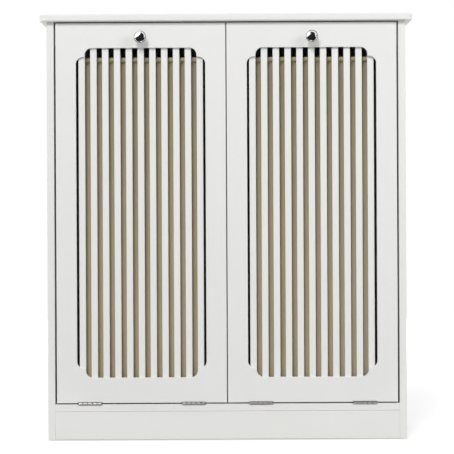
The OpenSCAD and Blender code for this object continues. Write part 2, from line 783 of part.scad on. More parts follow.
// Arms, brackets and rods that carry the bag
module arm_outline() {
    tip_y = rod_y1 + arm_over;
    notch_d = rod_d + 2 * seat_gap;
    difference() {
        polygon([[door_back_y, arm_z], [door_back_y, rod_z0 + arm_lip],
                 [rod_y0 + arm_over, rod_z0 + arm_lip], [tip_y, rod_z1 + arm_lip],
                 [tip_y, rod_z1 + arm_lip - arm_end_h]]);
        for (p = rods) {
            translate(p) circle(d = notch_d);
            translate([p[0] - notch_d / 2, p[1]]) square([notch_d, 2 * arm_lip + rod_drop]);
        }
    }
}

module bag_arms() color(white) difference() {
    for (x0 = [door_x - arm_out, door_x + arm_in]) sideways(x0, x0 + arm_t) arm_outline();
    bracket_screw_shapes(pin_fit);
}

module bracket_screw_shapes(grow = 0) {
    for (k = [-1, 1], z = bracket_zs) {
        x = door_x + k * arm_out;
        along([x + k * (bracket_leg + bracket_t) / 2, door_back_y + bracket_t, z], [0, -1, 0], [1, 0, 0])
            flat_screw(short_screw_l, grow);
        along([x + k * bracket_t, door_back_y + (bracket_arm_leg + bracket_t) / 2, z], [-k, 0, 0], [0, 1, 0])
            flat_screw(arm_screw_l, grow);
    }
}

module arm_brackets() color(grey_steel) difference() {
    for (z = bracket_zs) {
        left_x = door_x - arm_out;
        right_x = door_x + arm_out;
        for (x = [left_x - bracket_leg, right_x])
            board([x, door_back_y, z - bracket_h / 2],
                  [x + bracket_leg, door_back_y + bracket_t, z + bracket_h / 2]);
        for (x = [left_x - bracket_t, right_x])
            board([x, door_back_y, z - bracket_h / 2],
                  [x + bracket_t, door_back_y + bracket_arm_leg, z + bracket_h / 2]);
    }
    bracket_screw_shapes(pin_fit);
}

module bracket_screws() color(grey_steel) bracket_screw_shapes();

module bag_rods() {
    half = arm_out + seat_gap;
    color(dark_steel) for (p = rods) along([door_x, p[0], p[1]], [1, 0, 0], [0, 1, 0]) rotate_extrude()
        polygon([[0, -half - rod_cap_t], [rod_cap_d / 2, -half - rod_cap_t], [rod_cap_d / 2, -half],
                 [rod_d / 2, -half], [rod_d / 2, half], [rod_cap_d / 2, half],
                 [rod_cap_d / 2, half + rod_cap_t], [0, half + rod_cap_t]]);
}

// Bag: front, base, rear and two sides, which meet at their seams, with a hem round
// each rod and an open, sloping mouth
module bag_outline(inset, over) {
    r = bag_r - inset;
    polygon([[bag_y0 + inset, bag_z + bag_r], [bag_y1 - inset, bag_z + bag_r],
             [bag_y1 - inset, rod_z1 + over], [bag_y0 + inset, rod_z0 + over]]);
    translate([bag_y0 + bag_r, bag_z + inset]) square([bag_y1 - bag_y0 - 2 * bag_r, bag_r]);
    for (y = [bag_y0 + bag_r, bag_y1 - bag_r]) translate([y, bag_z + bag_r]) circle(r);
}

module bag_sides() for (x = [door_x - bag_w / 2, door_x + bag_w / 2 - cloth_t])
    sideways(x, x + cloth_t) difference() {
        bag_outline(0, 0);
        for (p = rods) translate(p) circle(d = hem_d + 2 * seam);
    }

module bag_strip() {
    half = bag_w / 2 - cloth_t - seam;
    sideways(door_x - half, door_x + half) difference() {
        bag_outline(0, 0);
        bag_outline(cloth_t, hem_d);
        for (y = [bag_y0 + bag_r, bag_y1 - bag_r - seam])
            translate([y, bag_z - cut]) square([seam, bag_r + cut]);
    }
}

module bag() color(khaki) {
    bag_sides();
    difference() {
        union() {
            bag_strip();
            for (p = rods) round_x([door_x - bag_w / 2, p[0], p[1]], hem_d, bag_w);
        }
        for (p = rods)
            round_x([door_x - bag_w / 2 - cut, p[0], p[1]], rod_d + 2 * pin_fit, bag_w + 2 * cut);
    }
}

top_panel();
left() side_panel();  // side_panel_left
side_panel();  // side_panel_right
divider_panel();
bottom_panel();
plinth(0);  // plinth_front
plinth(1);  // plinth_rear
left() top_rail();  // top_rail_left
top_rail();  // top_rail_right
left() back_panel();  // back_panel_left
back_panel();  // back_panel_right
floor_glides();
cam_locks();
cam_bolts();
wood_dowels();
hinge_cabinet_leaves();
hinge_pins();
hinge_cabinet_screws();
catch_magnets();
stay_studs();
left() door_frame();  // door_frame_left
door_frame();  // door_frame_right
left() door_grille();  // door_grille_left
door_grille();  // door_grille_right
left() grille_screws();  // grille_screws_left
grille_screws();  // grille_screws_right
left() knob();  // knob_left
knob();  // knob_right
left() knob_screw();  // knob_screw_left
knob_screw();  // knob_screw_right
left() hinge_door_leaves();  // hinge_door_leaves_left
hinge_door_leaves();  // hinge_door_leaves_right
left() hinge_door_screws();  // hinge_door_screws_left
hinge_door_screws();  // hinge_door_screws_right
left() catch_strike();  // catch_strike_left
catch_strike();  // catch_strike_right
left() catch_screw();  // catch_screw_left
catch_screw();  // catch_screw_right
left() door_bumpers();  // door_bumpers_left
door_bumpers();  // door_bumpers_right
left() stay_arm();  // stay_arm_left
stay_arm();  // stay_arm_right
left() stay_screws();  // stay_screws_left
stay_screws();  // stay_screws_right
left() bag_arms();  // bag_arms_left
bag_arms();  // bag_arms_right
left() arm_brackets();  // arm_brackets_left
arm_brackets();  // arm_brackets_right
left() bracket_screws();  // bracket_screws_left
bracket_screws();  // bracket_screws_right
left() bag_rods();  // bag_rods_left
bag_rods();  // bag_rods_right
left() bag();  // bag_left
bag();  // bag_right
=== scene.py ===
"""Looks of a two-bay laundry cabinet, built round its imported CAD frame.

White boards, two tilt-out doors with upright slats, chrome knobs, small butt hinges,
and a khaki cloth bag behind each door. All lengths are in metres, in the CAD's frame.
"""

from __future__ import annotations

import logging
import math
from collections.abc import Iterable, Sequence
from dataclasses import dataclass
from enum import Enum

import bmesh
import bpy
from mathutils import Matrix, Vector, noise
from mathutils.geometry import tessellate_polygon


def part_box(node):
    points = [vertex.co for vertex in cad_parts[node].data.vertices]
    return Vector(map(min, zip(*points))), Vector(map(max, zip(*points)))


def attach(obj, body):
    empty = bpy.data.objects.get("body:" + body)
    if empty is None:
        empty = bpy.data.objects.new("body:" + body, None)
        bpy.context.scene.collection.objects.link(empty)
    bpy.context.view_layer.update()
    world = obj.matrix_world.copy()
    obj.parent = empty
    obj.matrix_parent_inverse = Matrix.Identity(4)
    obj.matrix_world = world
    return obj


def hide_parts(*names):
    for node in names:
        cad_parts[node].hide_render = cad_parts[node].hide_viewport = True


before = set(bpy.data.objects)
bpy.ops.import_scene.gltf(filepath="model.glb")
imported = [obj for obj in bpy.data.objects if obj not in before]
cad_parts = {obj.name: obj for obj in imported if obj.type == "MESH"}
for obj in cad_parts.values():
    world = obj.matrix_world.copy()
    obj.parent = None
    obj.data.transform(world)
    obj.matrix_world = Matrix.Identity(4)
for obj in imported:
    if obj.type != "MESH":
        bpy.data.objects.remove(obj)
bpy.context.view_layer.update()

log = logging.getLogger("cabinet")

Point = tuple[float, float, float]
Flat = tuple[float, float]
Shape = bmesh.types.BMesh
Piece = bpy.types.Object
Socket = bpy.types.NodeSocket

MM = 0.001
QUARTER = math.pi / 2
ALONG_X = (1, 0, 0)
SAME_POINT = 1e-7
CREASE = 40.0  # degrees from which an edge of a board or of metal stays sharp
SOFT_CREASE = 60.0  # the same for cloth


class Side(Enum):
    """The two bays. The value is the sign of X."""

    LEFT = -1
    RIGHT = 1

    def named(self, stem: str) -> str:
        """Returns a node, piece or body name for this side."""
        return f"{stem}_{self.name.lower()}"


# Shapes


def spread(start: float, end: float, steps: int) -> list[float]:
    """Returns evenly spaced numbers from a start to an end, both included."""
    return [start + (end - start) * (k / steps) for k in range(steps + 1)]


def rounding(width: float, steps: int) -> list[Flat]:
    """Returns how far in and how deep each ring of a rounded edge lies, from the face on."""
    turns = spread(0, QUARTER, steps)
    return [(width * (1 - math.sin(a)), width * (1 - math.cos(a))) for a in turns]


def arc(centre: Flat, radius: float, start: float, end: float, steps: int) -> list[Flat]:
    """Returns points on an arc between two angles in degrees, both included."""
    turns = [math.radians(a) for a in spread(start, end, steps)]
    return [(centre[0] + radius * math.cos(a), centre[1] + radius * math.sin(a)) for a in turns]


def axis_at(origin: Sequence[float], way: Sequence[float]) -> Matrix:
    """Returns a matrix with its origin at a point and its Z along a way."""
    turned = Vector(way).to_track_quat("Z", "Y").to_matrix().to_4x4()
    return Matrix.Translation(Vector(origin)) @ turned


def ring(base: Matrix, radius: float, height: float, steps: int) -> list[Vector]:
    """Returns the points of a circle about the Z of a matrix."""
    turns = spread(0, math.tau, steps)[:-1]
    return [base @ Vector((radius * math.cos(a), radius * math.sin(a), height)) for a in turns]


class Sketch:
    """Points and faces of one piece, gathered before the mesh is made."""

    def __init__(self) -> None:
        """Starts with no points."""
        self.points: list[Point] = []
        self.faces: list[tuple[int, ...]] = []
        self.threads: dict[int, Flat] = {}

    def add(self, points: Iterable[Sequence[float]], threads: Iterable[Flat] = ()) -> list[int]:
        """Adds points.

        Args:
            points: The points, as three numbers each.
            threads: For cloth, where each point lies in the weave.

        Returns:
            Their indices.
        """
        first = len(self.points)
        self.points.extend(tuple(p) for p in points)
        row = list(range(first, len(self.points)))
        self.threads.update(zip(row, threads))
        return row

    def join(self, rows: Sequence[Sequence[int]], closed: bool = True) -> None:
        """Joins each row to the next with faces.

        Args:
            rows: Indices of the points of each row, as many in each.
            closed: Whether the rows are rings.
        """
        for low, high in zip(rows, rows[1:]):
            count = len(low)
            for i in range(count if closed else count - 1):
                j = (i + 1) % count
                face = tuple(dict.fromkeys((low[i], low[j], high[j], high[i])))
                if len(face) > 2:
                    self.faces.append(face)

    def loft(self, rings: Iterable[Iterable], closed: bool = True) -> list[list[int]]:
        """Adds rows of points and joins them one after the other.

        Args:
            rings: The rows, each with as many points as the first.
            closed: Whether each row is a ring.

        Returns:
            The indices of each row.
        """
        rows = [self.add(r) for r in rings]
        self.join(rows, closed)
        return rows

    def cloth(self, rows: Iterable[tuple[Iterable, Iterable[Flat]]], tube: bool = False) -> None:
        """Lays a sheet of cloth through rows of points.

        Args:
            rows: For each row its points, and where each lies in the weave.
            tube: Whether each row ends where it began, and the sheet's ends are closed.
        """
        made = [self.add(points, threads) for points, threads in rows]
        self.join(made, closed=False)
        if tube:
            self.cap(made[0][:-1])
            self.cap(made[-1][:-1])

    def cap(self, *loops: Sequence[int]) -> None:
        """Fills a flat face.

        Args:
            loops: Indices of its outline, and then of each hole.
        """
        flat = [i for loop in loops for i in loop]
        triangles = tessellate_polygon([[Vector(self.points[i]) for i in loop] for loop in loops])
        self.faces.extend(tuple(flat[k] for k in t) for t in triangles)

    def turn(self, profile: Iterable[Flat], base: Matrix, steps: int) -> None:
        """Turns a profile about an axis.

        Args:
            profile: Radius and height of each point. An end at radius 0 closes to a point.
            base: Where the axis goes: it is the matrix's Z.
            steps: Number of points round the axis.
        """
        self.join([self.add(ring(base, radius, height, steps)) if radius > SAME_POINT
                   else self.add([base @ Vector((0, 0, height))]) * steps
                   for radius, height in profile])

    def bar(self, low: Vector, high: Vector, end: Sequence[Flat], steps: int) -> None:
        """Turns a bar that lies along X and whose ends are alike.

        Args:
            low: Its low corner.
            high: Its high corner.
            end: The profile of one end, from its middle out.
            steps: Number of points round the bar.
        """
        far = [(radius, high.x - low.x - height) for radius, height in reversed(end)]
        origin = (low.x, (low.y + high.y) / 2, (low.z + high.z) / 2)
        self.turn([*end, *far], axis_at(origin, ALONG_X), steps)

    def shape(self) -> Shape:
        """Makes the mesh.

        Returns:
            The sketch as a bmesh with its faces turned outwards.
        """
        bm = bmesh.new()
        verts = [bm.verts.new(p) for p in self.points]
        for face in self.faces:
            bm.faces.new([verts[i] for i in face])
        if self.threads:
            bm.verts.index_update()
            layer = bm.loops.layers.uv.new("weave")
            for face in bm.faces:
                for loop in face.loops:
                    loop[layer].uv = self.threads.get(loop.vert.index, (0.0, 0.0))
        bmesh.ops.delete(bm, geom=[v for v in bm.verts if not v.link_faces], context="VERTS")
        bmesh.ops.remove_doubles(bm, verts=bm.verts, dist=SAME_POINT)
        bmesh.ops.recalc_face_normals(bm, faces=bm.faces)
        return bm

    def piece(self, name: str, crease: float = CREASE, flat: bool = False) -> Piece:
        """Returns the sketch as a finished object."""
        return finished(self.shape(), name, crease, flat)


def mark_sharp(bm: Shape, crease: float) -> None:
    """Shades a shape smooth, apart from its sharp and its open edges.

    Args:
        bm: The shape.
        crease: Angle in degrees from which an edge stays sharp.
    """
    for face in bm.faces:
        face.smooth = True
    for edge in bm.edges:
        edge.smooth = len(edge.link_faces) == 2 and not folds_over(edge, crease)


def folds_over(edge: bmesh.types.BMEdge, angle: float) -> bool:
    """Returns whether an edge's two faces meet at an angle in degrees or more."""
    return len(edge.link_faces) == 2 and edge.calc_face_angle(0.0) >= math.radians(angle)


def keep_flat(piece: Piece) -> None:
    """Keeps large faces flat in shading beside their rounded edges."""
    piece.modifiers.new("flat_faces", "WEIGHTED_NORMAL").keep_sharp = True


def thicken(piece: Piece, thickness: float) -> None:
    """Gives a sheet of cloth its thickness, inwards."""
    cloth = piece.modifiers.new("cloth", "SOLIDIFY")
    cloth.thickness, cloth.offset = thickness, -1.0


def finished(bm: Shape, name: str, crease: float = CREASE, flat: bool = True) -> Piece:
    """Turns a shape into a smooth-shaded object whose sharp edges stay sharp.

    Args:
        bm: The shape, which is freed.
        name: The piece's name.
        crease: Angle in degrees from which an edge stays sharp.
        flat: Whether large faces stay flat in shading.

    Returns:
        The new object.
    """
    mark_sharp(bm, crease)
    mesh = bpy.data.meshes.new(name)
    bm.to_mesh(mesh)
    bm.free()
    piece = bpy.data.objects.new(name, mesh)
    bpy.context.scene.collection.objects.link(piece)
    if flat:
        keep_flat(piece)
    return piece


def round_off(bm: Shape, edges: list, width: float, steps: int, held: bool) -> None:
    """Rounds edges of a shape.

    Args:
        bm: The shape.
        edges: Its edges to round.
        width: Width of the rounding.
        steps: Facets of the rounding.
        held: Whether the rounding stops where it would meet another.
    """
    bmesh.ops.bevel(bm, geom=edges, offset=width, segments=steps, profile=0.5,
                    affect="EDGES", clamp_overlap=held)


def welded(node: str) -> Shape:
    """Copies a CAD node's shape.

    Args:
        node: The node.

    Returns:
        The copy, with its points welded and its flat faces merged.
    """
    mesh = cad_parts[node].data
    bm = bmesh.new()
    verts = [bm.verts.new(v.co) for v in mesh.vertices]
    for polygon in mesh.polygons:
        bm.faces.new([verts[i] for i in polygon.vertices])
    bmesh.ops.remove_doubles(bm, verts=bm.verts, dist=0.002 * MM)
    bmesh.ops.dissolve_limit(bm, angle_limit=math.radians(0.4), verts=bm.verts, edges=bm.edges)
    bmesh.ops.recalc_face_normals(bm, faces=bm.faces)
    return bm


def solids_of(node: str) -> list[tuple[Vector, Vector, list[Vector]]]:
    """Finds the solids of a CAD node.

    Args:
        node: The node.

    Returns:
        The low corner, high corner and points of each, in the order of their low corners.
    """
    bm = welded(node)
    left, found = set(bm.verts), []
    while left:
        todo, group = [left.pop()], []
        while todo:
            vert = todo.pop()
            group.append(vert.co.copy())
            for edge in vert.link_edges:
                other = edge.other_vert(vert)
                if other in left:
                    left.remove(other)
                    todo.append(other)
        low, high = (Vector([end(p[a] for p in group) for a in range(3)]) for end in (min, max))
        found.append((low, high, group))
    bm.free()
    return sorted(found, key=lambda s: tuple(round(x, 5) for x in s[0]))


# Finishes. Grain is given as features in a metre, and relief by its depth in metres.


class Graph:
    """The nodes of one material or world, with short ways to add to them."""

    def __init__(self, owner: bpy.types.Material | bpy.types.World) -> None:
        """Gives a new material or world its first nodes."""
        owner.use_nodes = True
        self.tree = owner.node_tree
        made = self.tree.nodes
        self.shader = made.get("Principled BSDF") or made["Background"]

    def add(self, kind: str, inputs: dict | None = None, **options: object) -> bpy.types.Node:
        """Adds a node.

        Args:
            kind: The node's type, without the ShaderNode in front.
            inputs: Values or sockets for its inputs, by name or number.
            options: Its other settings.

        Returns:
            The node.
        """
        node = self.tree.nodes.new("ShaderNode" + kind)
        for key, value in options.items():
            setattr(node, key, value)
        for key, value in (inputs or {}).items():
            self.feed(node.inputs[key], value)
        return node

    def feed(self, target: Socket, value: object) -> None:
        """Links a socket to an input, or sets the input to a plain value.

        Args:
            target: The input.
            value: The socket or value.
        """
        if isinstance(value, bpy.types.NodeSocket):
            self.tree.links.new(value, target)
        else:
            target.default_value = value

    def where(self, stretch: Point = (1, 1, 1)) -> Socket:
        """Returns the place on the piece in metres, stretched along its axes."""
        spot = self.add("TexCoord").outputs["Object"]
        return self.add("Mapping", {"Vector": spot, "Scale": stretch}).outputs[0]

    def noise(self, scale: float, detail: float, stretch: Point = (1, 1, 1),
              spot: Socket | None = None) -> Socket:
        """Returns noise from 0 to 1 with about that many features in a metre."""
        inputs = {"Vector": spot or self.where(stretch), "Scale": scale, "Detail": detail}
        return self.add("TexNoise", inputs).outputs[0]

    def calc(self, how: str, a: object, b: object = 0.0, c: object = 0.0) -> Socket:
        """Returns the result of one operation of the Math node."""
        return self.add("Math", {0: a, 1: b, 2: c}, operation=how).outputs[0]

    def product(self, a: object, b: object) -> Socket:
        """Returns one value times another."""
        return self.calc("MULTIPLY", a, b)

    def between(self, value: Socket, low: float, high: float, start: float = 0.0,
                end: float = 1.0, **options: object) -> Socket:
        """Returns a value that goes from low to high as another goes from start to end."""
        inputs = {0: value, 1: start, 2: end, 3: low, 4: high}
        return self.add("MapRange", inputs, **options).outputs[0]

    def blend(self, share: object, a: object, b: object) -> Socket:
        """Returns a colour between two."""
        full = [(*c, 1.0) if isinstance(c, tuple) else c for c in (a, b)]
        return self.add("Mix", {0: share, 6: full[0], 7: full[1]}, data_type="RGBA").outputs[2]

    def darker(self, share: object, colour: Point, level: float) -> Socket:
        """Returns a colour between one and the same at a lower level."""
        return self.blend(share, colour, tuple(level * c for c in colour))

    def bump(self, height: Socket, depth: float, strength: float,
             over: Socket | None = None) -> Socket:
        """Returns the normal of a relief of that depth, over another if given."""
        inputs = {"Height": height, "Distance": depth, "Strength": strength}
        return self.add("Bump", inputs | ({"Normal": over} if over else {})).outputs[0]

    def seen(self) -> Socket:
        """Returns 1 for rays from the camera and from reflections, and 0 for others."""
        rays = self.add("LightPath").outputs
        return self.calc("MAXIMUM", rays["Is Camera Ray"], rays["Is Glossy Ray"])

    def dress(self, **values: object) -> None:
        """Sets the shader's inputs.

        Args:
            values: Values by name, with an underscore in place of each space.
        """
        for key, value in values.items():
            full = (*value, 1.0) if isinstance(value, tuple) else value
            self.feed(self.shader.inputs[key.replace("_", " ")], full)

    def shine(self, strength: object, over: Socket | None = None) -> None:
        """Makes the surface give white light.

        Args:
            strength: Its strength.
            over: The shader that it is added to, if any.
        """
        light = self.add("Emission", {"Color": (1, 1, 1, 1), "Strength": strength}).outputs[0]
        if over:
            light = self.add("AddShader", {0: over, 1: light}).outputs[0]
        self.tree.links.new(light, self.tree.nodes["Material Output"].inputs["Surface"])


@dataclass(frozen=True)
class Finish:
    """A finish of the record's material slots."""

    slot: str
    label: str

    def draw(self, g: Graph) -> None:
        """Draws the finish with the nodes of a new material."""
        raise NotImplementedError

    def material(self) -> bpy.types.Material:
        """Makes the material, the first time only.

        Returns:
            The material.
        """
        made = bpy.data.materials.get(self.label)
        if made is None:
            made = bpy.data.materials.new(self.label)
            self.draw(Graph(made))
        return made


@dataclass(frozen=True)
class Lacquer(Finish):
    """Satin white coating on board, with a faint orange peel."""

    colour: Point = (0.84, 0.84, 0.822)
    shade: Point = (0.815, 0.815, 0.795)
    gloss: float = 0.42
    peel: float = 0.00003
    clouds: float = 9.0
    smears: float = 60.0
    broad: float = 150.0
    fine: float = 950.0

    def draw(self, g: Graph) -> None:
        """Draws clouds in the white, and two sizes of orange peel.

        Args:
            g: The material's nodes.
        """
        broad = g.bump(g.noise(self.broad, 2), 4 * self.peel, 0.2)
        g.dress(Base_Color=g.blend(g.noise(self.clouds, 4), self.colour, self.shade),
                Roughness=g.between(g.noise(self.smears, 3), self.gloss - 0.05, self.gloss + 0.08),
                Specular_IOR_Level=0.35,
                Normal=g.bump(g.noise(self.fine, 2), self.peel, 0.35, broad))


@dataclass(frozen=True)
class Hardboard(Finish):
    """Thin fibre board, painted, with the press's fine mesh still to be felt."""

    colour: Point = (0.72, 0.715, 0.69)
    shade: Point = (0.66, 0.65, 0.62)
    grain: float = 260.0
    mesh: float = 900.0

    def draw(self, g: Graph) -> None:
        """Draws the fibres and the mesh.

        Args:
            g: The material's nodes.
        """
        fibres = g.noise(self.grain, 5, (1, 1, 0.35))
        spot = g.add("SeparateXYZ", {0: g.where((self.mesh,) * 3)}).outputs
        mesh = g.product(g.calc("SINE", spot[0]), g.calc("SINE", spot[2]))
        g.dress(Base_Color=g.blend(fibres, self.colour, self.shade),
                Roughness=g.between(fibres, 0.55, 0.75),
                Normal=g.bump(mesh, 0.00004, 0.4, g.bump(fibres, 0.0001, 0.3)))


@dataclass(frozen=True)
class Cloth(Finish):
    """Plain-woven cloth, whose threads follow the piece's weave coordinates."""

    colour: Point = (0.6, 0.49, 0.35)
    shade: Point = (0.475, 0.385, 0.27)
    olive: Point = (0.95, 1.03, 0.86)
    thread: float = 0.0008
    # painted shade below the front hem, fading over this length along the weave; on the side
    # panels it darkens them towards the base
    painted_shade_length: float = 0.26
    # colour of that painted shade
    dark: Point = (0.125, 0.115, 0.06)
    painted_shade_strength: float = 0.48
    slub: Flat = (1400.0, 60.0)
    patches: float = 14.0
    bands: float = 34.0
    rumples: float = 70.0

    def tones(self, g: Graph, light: Socket) -> list[Socket]:
        """Returns the cloth's own tone and a more olive one, at some lightness."""
        tints = [[tuple(a * b for a, b in zip(tone, tint)) for tone in (self.shade, self.colour)]
                 for tint in ((1, 1, 1), self.olive)]
        return [g.blend(light, *tint) for tint in tints]

    def draw(self, g: Graph) -> None:
        """Draws the crossing threads, painted shade in their hollows and below the front hem, and
        the slubs.

        Args:
            g: The material's nodes.
        """
        weave = g.add("UVMap", uv_map="weave").outputs[0]
        spot = g.add("SeparateXYZ", {0: weave}).outputs
        warp, weft = (g.calc("SINE", g.product(spot[a], math.pi / self.thread)) for a in (0, 1))
        over = g.product(warp, weft)
        ridges = g.calc("MAXIMUM", g.calc("ABSOLUTE", warp), g.calc("ABSOLUTE", weft))
        height = g.calc("MULTIPLY_ADD", over, 0.35, ridges)
        ways = [g.add("Mapping", {"Vector": weave, "Scale": (*stretch, 1)}).outputs[0]
                for stretch in (self.slub, self.slub[::-1])]
        slubs = [g.noise(1, 4, spot=way) for way in ways]
        uneven = g.calc("MULTIPLY_ADD", g.noise(self.patches, 4), 0.5,
                        g.product(g.calc("ADD", *slubs), 0.25))
        tone = g.blend(g.between(g.noise(self.bands, 2, (1, 1, 0.2)), -1.0, 2.0),
                       *self.tones(g, g.between(uneven, -0.35, 1.35)))
        # painted shade below the front hem, fading downwards; the side panels darken towards their
        # base
        if self.painted_shade_length:
            painted_shade = g.calc("EXPONENT", g.product(spot[1], -1 / self.painted_shade_length))
            tone = g.blend(g.product(painted_shade, self.painted_shade_strength), tone, self.dark)
        # painted shade in the hollows of the weave, where the threads dip
        painted_pit_shade = tuple(0.72 * c for c in self.shade)
        rumpled = g.bump(g.noise(self.rumples, 3), 0.0012, 0.25)
        g.dress(Base_Color=g.blend(g.between(over, 0.22, 0.0), tone, painted_pit_shade),
                Roughness=g.between(slubs[0], 0.78, 0.95),
                Sheen_Weight=0.25, Sheen_Roughness=0.55, Specular_IOR_Level=0.2,
                Normal=g.bump(height, 0.00018, 0.6, rumpled))


@dataclass(frozen=True)
class Thread(Finish):
    """Twisted sewing thread."""

    colour: Point = (0.46, 0.39, 0.26)
    plies: float = 1500.0

    def draw(self, g: Graph) -> None:
        """Draws the plies of the thread."""
        ply = g.noise(self.plies, 2, (1, 1, 0.4))
        g.dress(Base_Color=g.darker(ply, self.colour, 0.7), Roughness=0.6,
                Normal=g.bump(ply, 0.0001, 0.5))


@dataclass(frozen=True)
class Metal(Finish):
    """Bare or plated metal, with a direction to its finest scratches."""

    colour: Point = (0.62, 0.62, 0.63)
    shade: Point = (0.5, 0.5, 0.52)
    gloss: float = 0.3
    spread: float = 0.08
    grain: Point = (1, 1, 1)
    relief: float = 0.00001
    mottle: float = 220.0
    scratches: float = 1800.0

    def draw(self, g: Graph) -> None:
        """Draws the mottled plating and its scratches."""
        lines = g.noise(self.scratches, 3, self.grain)
        g.dress(Base_Color=g.blend(g.noise(self.mottle, 4), self.colour, self.shade),
                Roughness=g.between(lines, self.gloss - self.spread, self.gloss + self.spread),
                Metallic=1.0, Normal=g.bump(lines, self.relief, 0.3))


@dataclass(frozen=True)
class Enamel(Finish):
    """Powder coat, rubber or moulded plastic: one colour with a fine grain."""

    colour: Point = (0.02, 0.02, 0.022)
    gloss: float = 0.45
    clear: float = 0.0
    grain: float = 900.0

    def draw(self, g: Graph) -> None:
        """Draws a fine grain, and broader changes of gloss.

        Args:
            g: The material's nodes.
        """
        specks, smears = g.noise(self.grain, 3), g.noise(self.grain / 4, 3)
        g.dress(Base_Color=g.darker(specks, self.colour, 0.8),
                Roughness=g.between(smears, self.gloss - 0.06, self.gloss + 0.08),
                Transmission_Weight=self.clear, Normal=g.bump(specks, 0.00006, 0.35))


@dataclass(frozen=True)
class Beech(Finish):
    """Beech, with its short dark flecks."""

    colour: Point = (0.62, 0.43, 0.25)
    rings: float = 90.0
    flecks: float = 1400.0

    def draw(self, g: Graph) -> None:
        """Draws the year rings and the flecks."""
        rings, flecks = g.noise(self.rings, 5, (1, 1, 0.15)), g.noise(self.flecks, 2, (1, 1, 0.1))
        g.dress(Base_Color=g.darker(rings, self.colour, 0.75),
                Roughness=g.between(flecks, 0.5, 0.7), Normal=g.bump(flecks, 0.0001, 0.4))


WHITE = Lacquer("white_board", "white_lacquer")
BACK = Hardboard("back_board", "painted_hardboard")
KHAKI = Cloth("khaki_cloth", "khaki_cotton")
HEM = Cloth("khaki_cloth", "khaki_hem", (0.51, 0.45, 0.27), (0.42, 0.37, 0.22), painted_shade_length=0.0)
STITCH = Thread("khaki_cloth", "khaki_thread")
CHROME = Metal("chrome", "polished_chrome", (0.86, 0.86, 0.87), (0.82, 0.82, 0.83), 0.06, 0.02,
               relief=0.000002)
ZINC = Metal("zinc_steel", "zinc_plate")
NICKEL = Metal("zinc_steel", "nickel_hinge", (0.37, 0.36, 0.345), (0.29, 0.28, 0.27), 0.31, 0.07,
               (0.1, 1, 1))
BLACK = Enamel("black_steel", "black_powder_coat")
WOOD = Beech("beech", "beech_dowel")
GLIDE = Enamel("glide_plastic", "glide_nylon", (0.11, 0.11, 0.115), 0.5)
RUBBER = Enamel("bumper_rubber", "clear_rubber", (0.78, 0.78, 0.77), 0.25, 0.5, 500.0)


def place(piece: Piece, body: str, finish: Finish, *nodes: str) -> None:
    """Gives a piece its finish and its body, and reports it.

    Args:
        piece: The new piece.
        body: The CAD body that it moves with.
        finish: Its finish.
        nodes: The CAD nodes that it stands for.
    """
    piece.data.materials.append(finish.material())
    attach(piece, body)
    if nodes:
        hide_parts(*nodes)
    log.info("%s rides on %s, %d faces", piece.name, body, len(piece.data.polygons))


def dress_node(node: str, finish: Finish) -> None:
    """Gives a CAD node that keeps its shape a finish on each of its slots.

    Args:
        node: The node.
        finish: Its finish.
    """
    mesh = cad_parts[node].data
    if not mesh.materials:
        mesh.materials.append(finish.material())
    for i in range(len(mesh.materials)):
        mesh.materials[i] = finish.material()
    log.info("%s keeps its CAD shape", node)


# Cabinet


@dataclass(frozen=True)
class Easing:
    """The rounding of a board's long outer edges, which leaves bores and grooves sharp."""

    width: float
    shortest: float
    steps: int = 3
    angle: float = 50.0

    def board(self, node: str, name: str, body: str, finish: Finish) -> None:
        """Makes an eased copy of a CAD board.

        Args:
            node: The board's node, which the copy replaces.
            name: The copy's name.
            body: The body that it moves with.
            finish: Its finish.
        """
        bm = welded(node)
        edges = [e for e in bm.edges if e.is_convex and folds_over(e, self.angle)
                 and e.calc_length() > self.shortest]
        round_off(bm, edges, self.width, self.steps, held=True)
        place(finished(bm, name), body, finish, node)


@dataclass
class Boards:
    """The carcass boards, with the small rounding of their edge bands."""

    edge: Easing = Easing(0.6 * MM, 20 * MM)
    back_edge: Easing = Easing(0.3 * MM, 20 * MM, 1)
    nodes: tuple[str, ...] = ("side_panel_left", "side_panel_right", "divider_panel",
                              "bottom_panel", "plinth_front", "plinth_rear", "top_rail_left",
                              "top_rail_right")

    def build(self) -> None:
        """Makes an eased copy of each board."""
        for node in self.nodes:
            self.edge.board(node, f"{node}_eased", "carcass", WHITE)
        for node in (side.named("back_panel") for side in Side):
            self.back_edge.board(node, f"{node}_eased", "carcass", BACK)


@dataclass
class TopBoard:
    """The top board, with rounded front corners and an eased edge on three sides."""

    corner: float = 16 * MM
    edge: float = 3 * MM
    corner_steps: int = 16
    edge_steps: int = 8

    def outline(self, inset: float, z: float) -> list[Point]:
        """Lays out the board's outline at one height.

        Args:
            inset: How far its three eased sides are drawn in.
            z: The height.

        Returns:
            The points of the outline.
        """
        low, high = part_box("top_panel")
        radius = self.corner - inset
        x, y = high.x - self.corner, low.y + self.corner
        right = arc((x, y), radius, 0, -90, self.corner_steps)
        left = arc((-x, y), radius, -90, -180, self.corner_steps)
        back = (x + radius, high.y), (-x - radius, high.y)
        return [(*p, z) for p in (back[0], *right, *left, back[1])]

    def build(self) -> None:
        """Makes the board."""
        low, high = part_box("top_panel")
        steps = rounding(self.edge, self.edge_steps)
        sketch = Sketch()
        rows = sketch.loft([self.outline(inset, low.z + depth) for inset, depth in steps]
                           + [self.outline(inset, high.z - depth) for inset, depth in steps[::-1]])
        sketch.cap(rows[0])
        sketch.cap(rows[-1])
        place(sketch.piece("top_board", flat=True), "carcass", WHITE, "top_panel")


